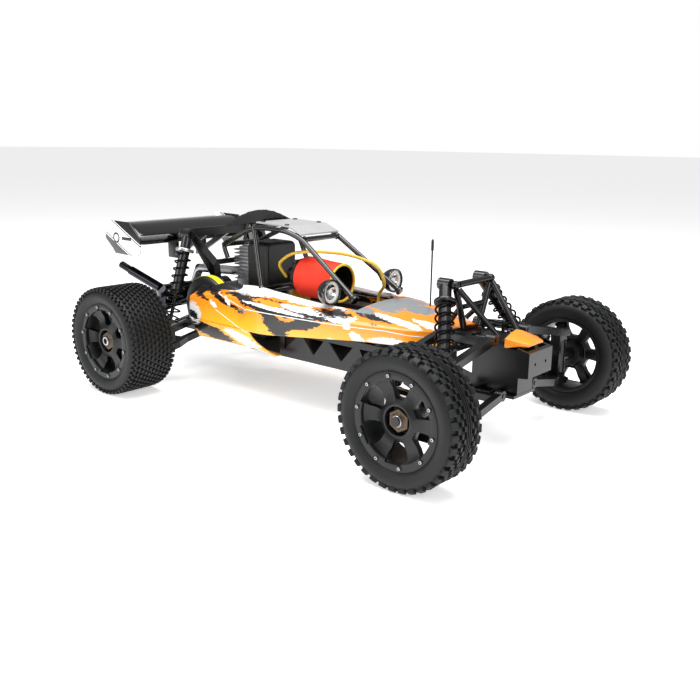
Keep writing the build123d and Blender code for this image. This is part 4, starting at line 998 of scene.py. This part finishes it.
# %% Gear cover and its label
GEAR_X, GEAR_Z = -220, 128
label_yellow = grained("yellow vinyl label", "#e6e600", "#f7f51a", 0.3, 3, 0.05, coat=0.4)
gear_cup = turned([(19.5, 0.4), (19.5, 47.3), (0, 47.3), (0, 49.4), (1, 50.2), (3.2, 50.2), (4.2, 49.6), (18.5, 49.6),
                   (21.2, 48.2), (22, 45.5), (22, 36), (20.9, 34.6), (20.9, 14), (22.3, 12.5), (22.3, 0.4)], steps=128)
finish_piece(gear_cup, "gear_cover_visual", shroud_plastic, aim(at(GEAR_X, -62, GEAR_Z), (0, -1, 0)), bevel=0.3)
carry(gear_cup, "frame", "gear_cover")


def label_section(angle):
    x = GEAR_X + 50.2 * math.cos(math.radians(angle))
    z = GEAR_Z + 50.2 * math.sin(math.radians(angle))
    return [(x, y, z) for y in (-79.5, -76, -72, -67.5)]


label = skin([label_section(angle) for angle in steps(52, 128, 24)], wall=0.4)
finish_piece(label, "gear_label_visual", label_yellow, smooth=40)
carry(label, "frame")
print("gear cover faces:", len(gear_cup.data.polygons))

# %% [markdown]
# The fuel line is a soft yellow hose. It is pushed on at both ends and lies along the roof tubes, so
# it is held all the way and keeps one shape.

# %% Fuel hose
hose_rubber = grained("yellow silicone hose", "#c99f1e", "#e0bb3a", 0.32, 3, 0.05, coat=0.2)
HOSE_ROUTE = ((-98, -18.2, 184), (-106, -30, 205), (-76, -30, 225), (-34, -22, 231), (14, 2, 229), (56, 20, 215),
              (62, 32, 184), (40, 44, 167), (38, 45, 146))
hose = pipe([at(*point) for point in HOSE_ROUTE], 2.5, sides=6, bend=0.45)
finish_piece(hose, "fuel_hose_visual", hose_rubber, smooth=60)
carry(hose, "frame", "fuel_hose")
print("hose faces:", len(hose.data.polygons))

# %% [markdown]
# ## Wing
# Two vacuum-formed blades hang between moulded end plates. A blade is a skin over cross-sections that
# follow its curve, given a wall. The end plates carry a printed vinyl: a white field with black
# corners, a thin stripe inside each corner and a plain ring and bar in place of any lettering.

# %% Wing
wing_gloss = grained("gloss black vacuum-formed sheet", "#050506", "#0a0a0b", 0.14, 5, 0.02, coat=0.7)
UPPER_BLADE = ((-424, 251), (-412, 251.4), (-398, 252.6), (-384, 253.9), (-370, 254), (-362, 250.6), (-354, 245.2),
               (-347, 239.8), (-341, 234.8))
LOWER_BLADE = ((-421, 224), (-409, 224.9), (-396, 226.3), (-384, 227.6), (-372, 228), (-360, 226), (-349, 223.4),
               (-339, 220.7))


def blade(line):
    sections = [[(x, y, z) for x, z in line] for y in steps(-119.5, 119.5, 12)]
    made = skin(sections, wall=2.8)
    apply_modifier(made, "SUBSURF", levels=1, render_levels=1)
    return made


for line, name in ((UPPER_BLADE, "upper_blade_visual"), (LOWER_BLADE, "lower_blade_visual")):
    made = blade(line)
    finish_piece(made, name, wing_gloss, smooth=50)
    carry(made, "frame", "rear_wing")


def end_plate_print():
    """White vinyl with black corners, one thin stripe, a ring and a bar."""
    made, tree, shader, place = new_material("printed vinyl on moulded end plate")
    axes = add_node(tree, "ShaderNodeSeparateXYZ", Vector=place)
    middle = at(-384, 0, 229)

    def math_node(operation, first, second=0.0):
        return add_node(tree, "ShaderNodeMath", operation=operation, i0=first, i1=second).outputs["Value"]

    across = math_node("SUBTRACT", axes.outputs["X"], middle.x)
    rise = math_node("SUBTRACT", axes.outputs["Z"], middle.z)
    slant = math_node("ADD", math_node("MULTIPLY", across, 0.5), rise)
    far = math_node("ABSOLUTE", slant)
    corner = math_node("GREATER_THAN", far, 18 * MM)
    stripe = math_node("COMPARE", far, 15 * MM)
    stripe.node.inputs[2].default_value = 0.9 * MM
    from_ring = math_node("ADD", across, 16 * MM)
    ring_place = math_node("POWER", math_node("ADD", math_node("POWER", from_ring, 2.0),
                                              math_node("POWER", rise, 2.0)), 0.5)
    ring = math_node("COMPARE", ring_place, 7.5 * MM)
    ring.node.inputs[2].default_value = 1.7 * MM
    from_bar = math_node("ABSOLUTE", math_node("SUBTRACT", across, 13 * MM))
    in_bar = math_node("MULTIPLY", math_node("LESS_THAN", math_node("ABSOLUTE", rise), 2.6 * MM),
                       math_node("LESS_THAN", from_bar, 13 * MM))
    ink = math_node("MAXIMUM", math_node("MAXIMUM", corner, stripe), math_node("MAXIMUM", ring, in_bar))
    scuffs = add_node(tree, "ShaderNodeTexNoise", Vector=place, Scale=per_metre(6), Detail=4.0)
    white = add_node(tree, "ShaderNodeMix", data_type="RGBA", i0=scuffs.outputs["Fac"], i6=colour("#e9e9e6"),
                     i7=colour("#fbfbf9"))
    print_colour = add_node(tree, "ShaderNodeMix", data_type="RGBA", i0=ink, i6=white.outputs[2],
                            i7=colour("#08080a"))
    tree.links.new(print_colour.outputs[2], shader.inputs["Base Color"])
    shader.inputs["Roughness"].default_value = 0.25
    shader.inputs["Coat Weight"].default_value = 0.4
    return made


plate_print = end_plate_print()
END_PLATE = ((-428, 258), (-362, 257), (-334, 232), (-335, 208), (-345, 201), (-405, 202), (-411, 209), (-432, 226))
upright_plate = Matrix(((1, 0, 0, 0), (0, 0, -1, 0), (0, 1, 0, 0), (0, 0, 0, 1)))
for side, face_y in (("left", 123.5), ("right", -120.5)):
    outline = [((BASE_X / MM) + x, z) for x, z in END_PLATE]
    end_plate = plate(outline, 3)
    finish_piece(end_plate, f"{side}_end_plate_visual", plate_print,
                 Matrix.Translation((0, face_y * MM, 0)) @ upright_plate, bevel=0.9, segments=3)
    carry(end_plate, "frame", "rear_wing")
POSTS = (((-376, 190), (-352, 190), (-352, 221.2), (-373, 225.5), (-376, 225.2)),
         ((-376, 230.3), (-372, 230.7), (-352, 226), (-352, 239.8), (-369, 251.3), (-376, 251)))
posts = []
for post_y in (-28, 34):
    for corners in POSTS:
        post = plate([((BASE_X / MM) + x, z) for x, z in corners], 6)
        post.data.transform(Matrix.Translation((0, post_y * MM, 0)) @ upright_plate)
        posts.append(post)
wing_posts = finish_piece(join(posts), "wing_posts_visual", frame_nylon, bevel=0.8)
carry(wing_posts, "frame", "rear_wing")
print("wing pieces: 2 blades, 2 end plates,", len(posts), "posts")

# %% [markdown]
# ## Lamps
# A lamp is a short turned housing with a rolled rim. Inside it sits a white ring, a bright bowl and a
# small clear bulb. Each is turned on the lamp's axis and set in place twice.

# %% Lamps
lamp_white = grained("white moulded lamp ring", "#dcdcda", "#f2f2f0", 0.35, 2, 0.05, coat=0.3)
bright_bowl = metal("vacuum-plated reflector", "#b4b6b8", "#e2e3e4", 0.1, 3)
LAMP_SHELL = ((-20, 6), (-19.5, 10), (-15, 15), (-9, 18), (-2, 19), (0.6, 19), (1.4, 18), (0.4, 16.4), (-3.4, 15.8),
              (-9.5, 9.5), (-11, 3), (-11, 0.4))
LAMP_RING = ((-2.6, 15.7), (-1.4, 15.7), (-1.8, 12.2), (-2.8, 11.2), (-4, 11.6), (-2.6, 15.7))
LAMP_BOWL = ((-4, 11.4), (-3, 11), (-7, 7.5), (-9.3, 3.2), (-10.6, 3.2), (-9, 8), (-4, 11.4))
LAMP_BULB = ((-11, 2.4), (-7, 2.6), (-5.4, 4.2), (-3.6, 4.6), (-2.2, 3.8), (-1.5, 2), (-1.4, 0.3))
lamp_places = [aim(at(48, y, 184), (1, 0, 0)) for y in (-74, 74)]
for profile, name, finish in ((LAMP_SHELL, "lamp_shells", tube_paint), (LAMP_RING, "lamp_rings", lamp_white),
                              (LAMP_BOWL, "lamp_bowls", bright_bowl), (LAMP_BULB, "lamp_bulbs", lamp_white)):
    pair = copies(turned(profile, steps=72), lamp_places)
    finish_piece(pair, name + "_visual", finish, bevel=0.2)
    carry(pair, "frame", "headlights")
brackets = []
for sign in (1, -1):
    bracket = pipe([at(34, sign * 59, 186), at(34, sign * 56, 191), at(34, sign * 51.5, 196)], 3.4, bend=0.4)
    brackets.append(bracket)
lamp_brackets = finish_piece(join(brackets), "lamp_brackets_visual", tube_paint, smooth=60)
carry(lamp_brackets, "frame", "headlights")
print("lamps placed")

# %% [markdown]
# ## Small fittings
# A smooth black dome is moulded over the clutch, ahead of the gear cover. The header is bare bright
# pipe. Two sprung hairpin clips hold the body on its posts, bent from steel wire.

# %% Clutch dome, header and clips
dome_sections = []
for x in steps(-205, -131, 22):
    swell = math.sqrt(max(0.01, 1 - ((x + 168) / 38.5) ** 2))
    crown = 157 + 14 * swell
    dome_sections.append([(x, -60, crown - 1), (x, -66, crown), (x, -76, crown), (x, -82, crown - 1.2),
                          (x, -86, crown - 4), (x, -88, 154 + 5 * swell), (x, -89, 153)])
dome = skin(dome_sections, wall=1.6)
finish_piece(dome, "clutch_dome_visual", shroud_plastic, smooth=45)
carry(dome, "frame")

header_route = [at(-352, 0, 132), at(-334, 0, 172), at(-219, 0, 178)]
header = pipe(header_route, 7.7, sides=8, bend=0.3)
finish_piece(header, "header_pipe_visual", cast_alloy, smooth=60)
carry(header, "frame")

clips = []
for sign in (1, -1):
    x, y, z = -105, sign * 108.5, 137
    wire = [(x - 9, y, z + 1), (x + 6, y + sign, z + 1), (x + 10, y + sign, z + 4), (x + 6, y + sign, z + 7),
            (x, y + sign, z + 4.5), (x - 6, y + sign, z + 6), (x - 9, y, z + 6.5)]
    clips.append(pipe([at(*point) for point in wire], 0.9, bend=0.45))
    clips.append(pipe([at(x - 2, y - sign * 6, z + 3), at(x - 2, y + sign * 4, z + 3)], 2.6))
body_clips = finish_piece(join(clips), "body_clips_visual", steel, smooth=60)
carry(body_clips, "frame")
print("small fittings:", len(clips))
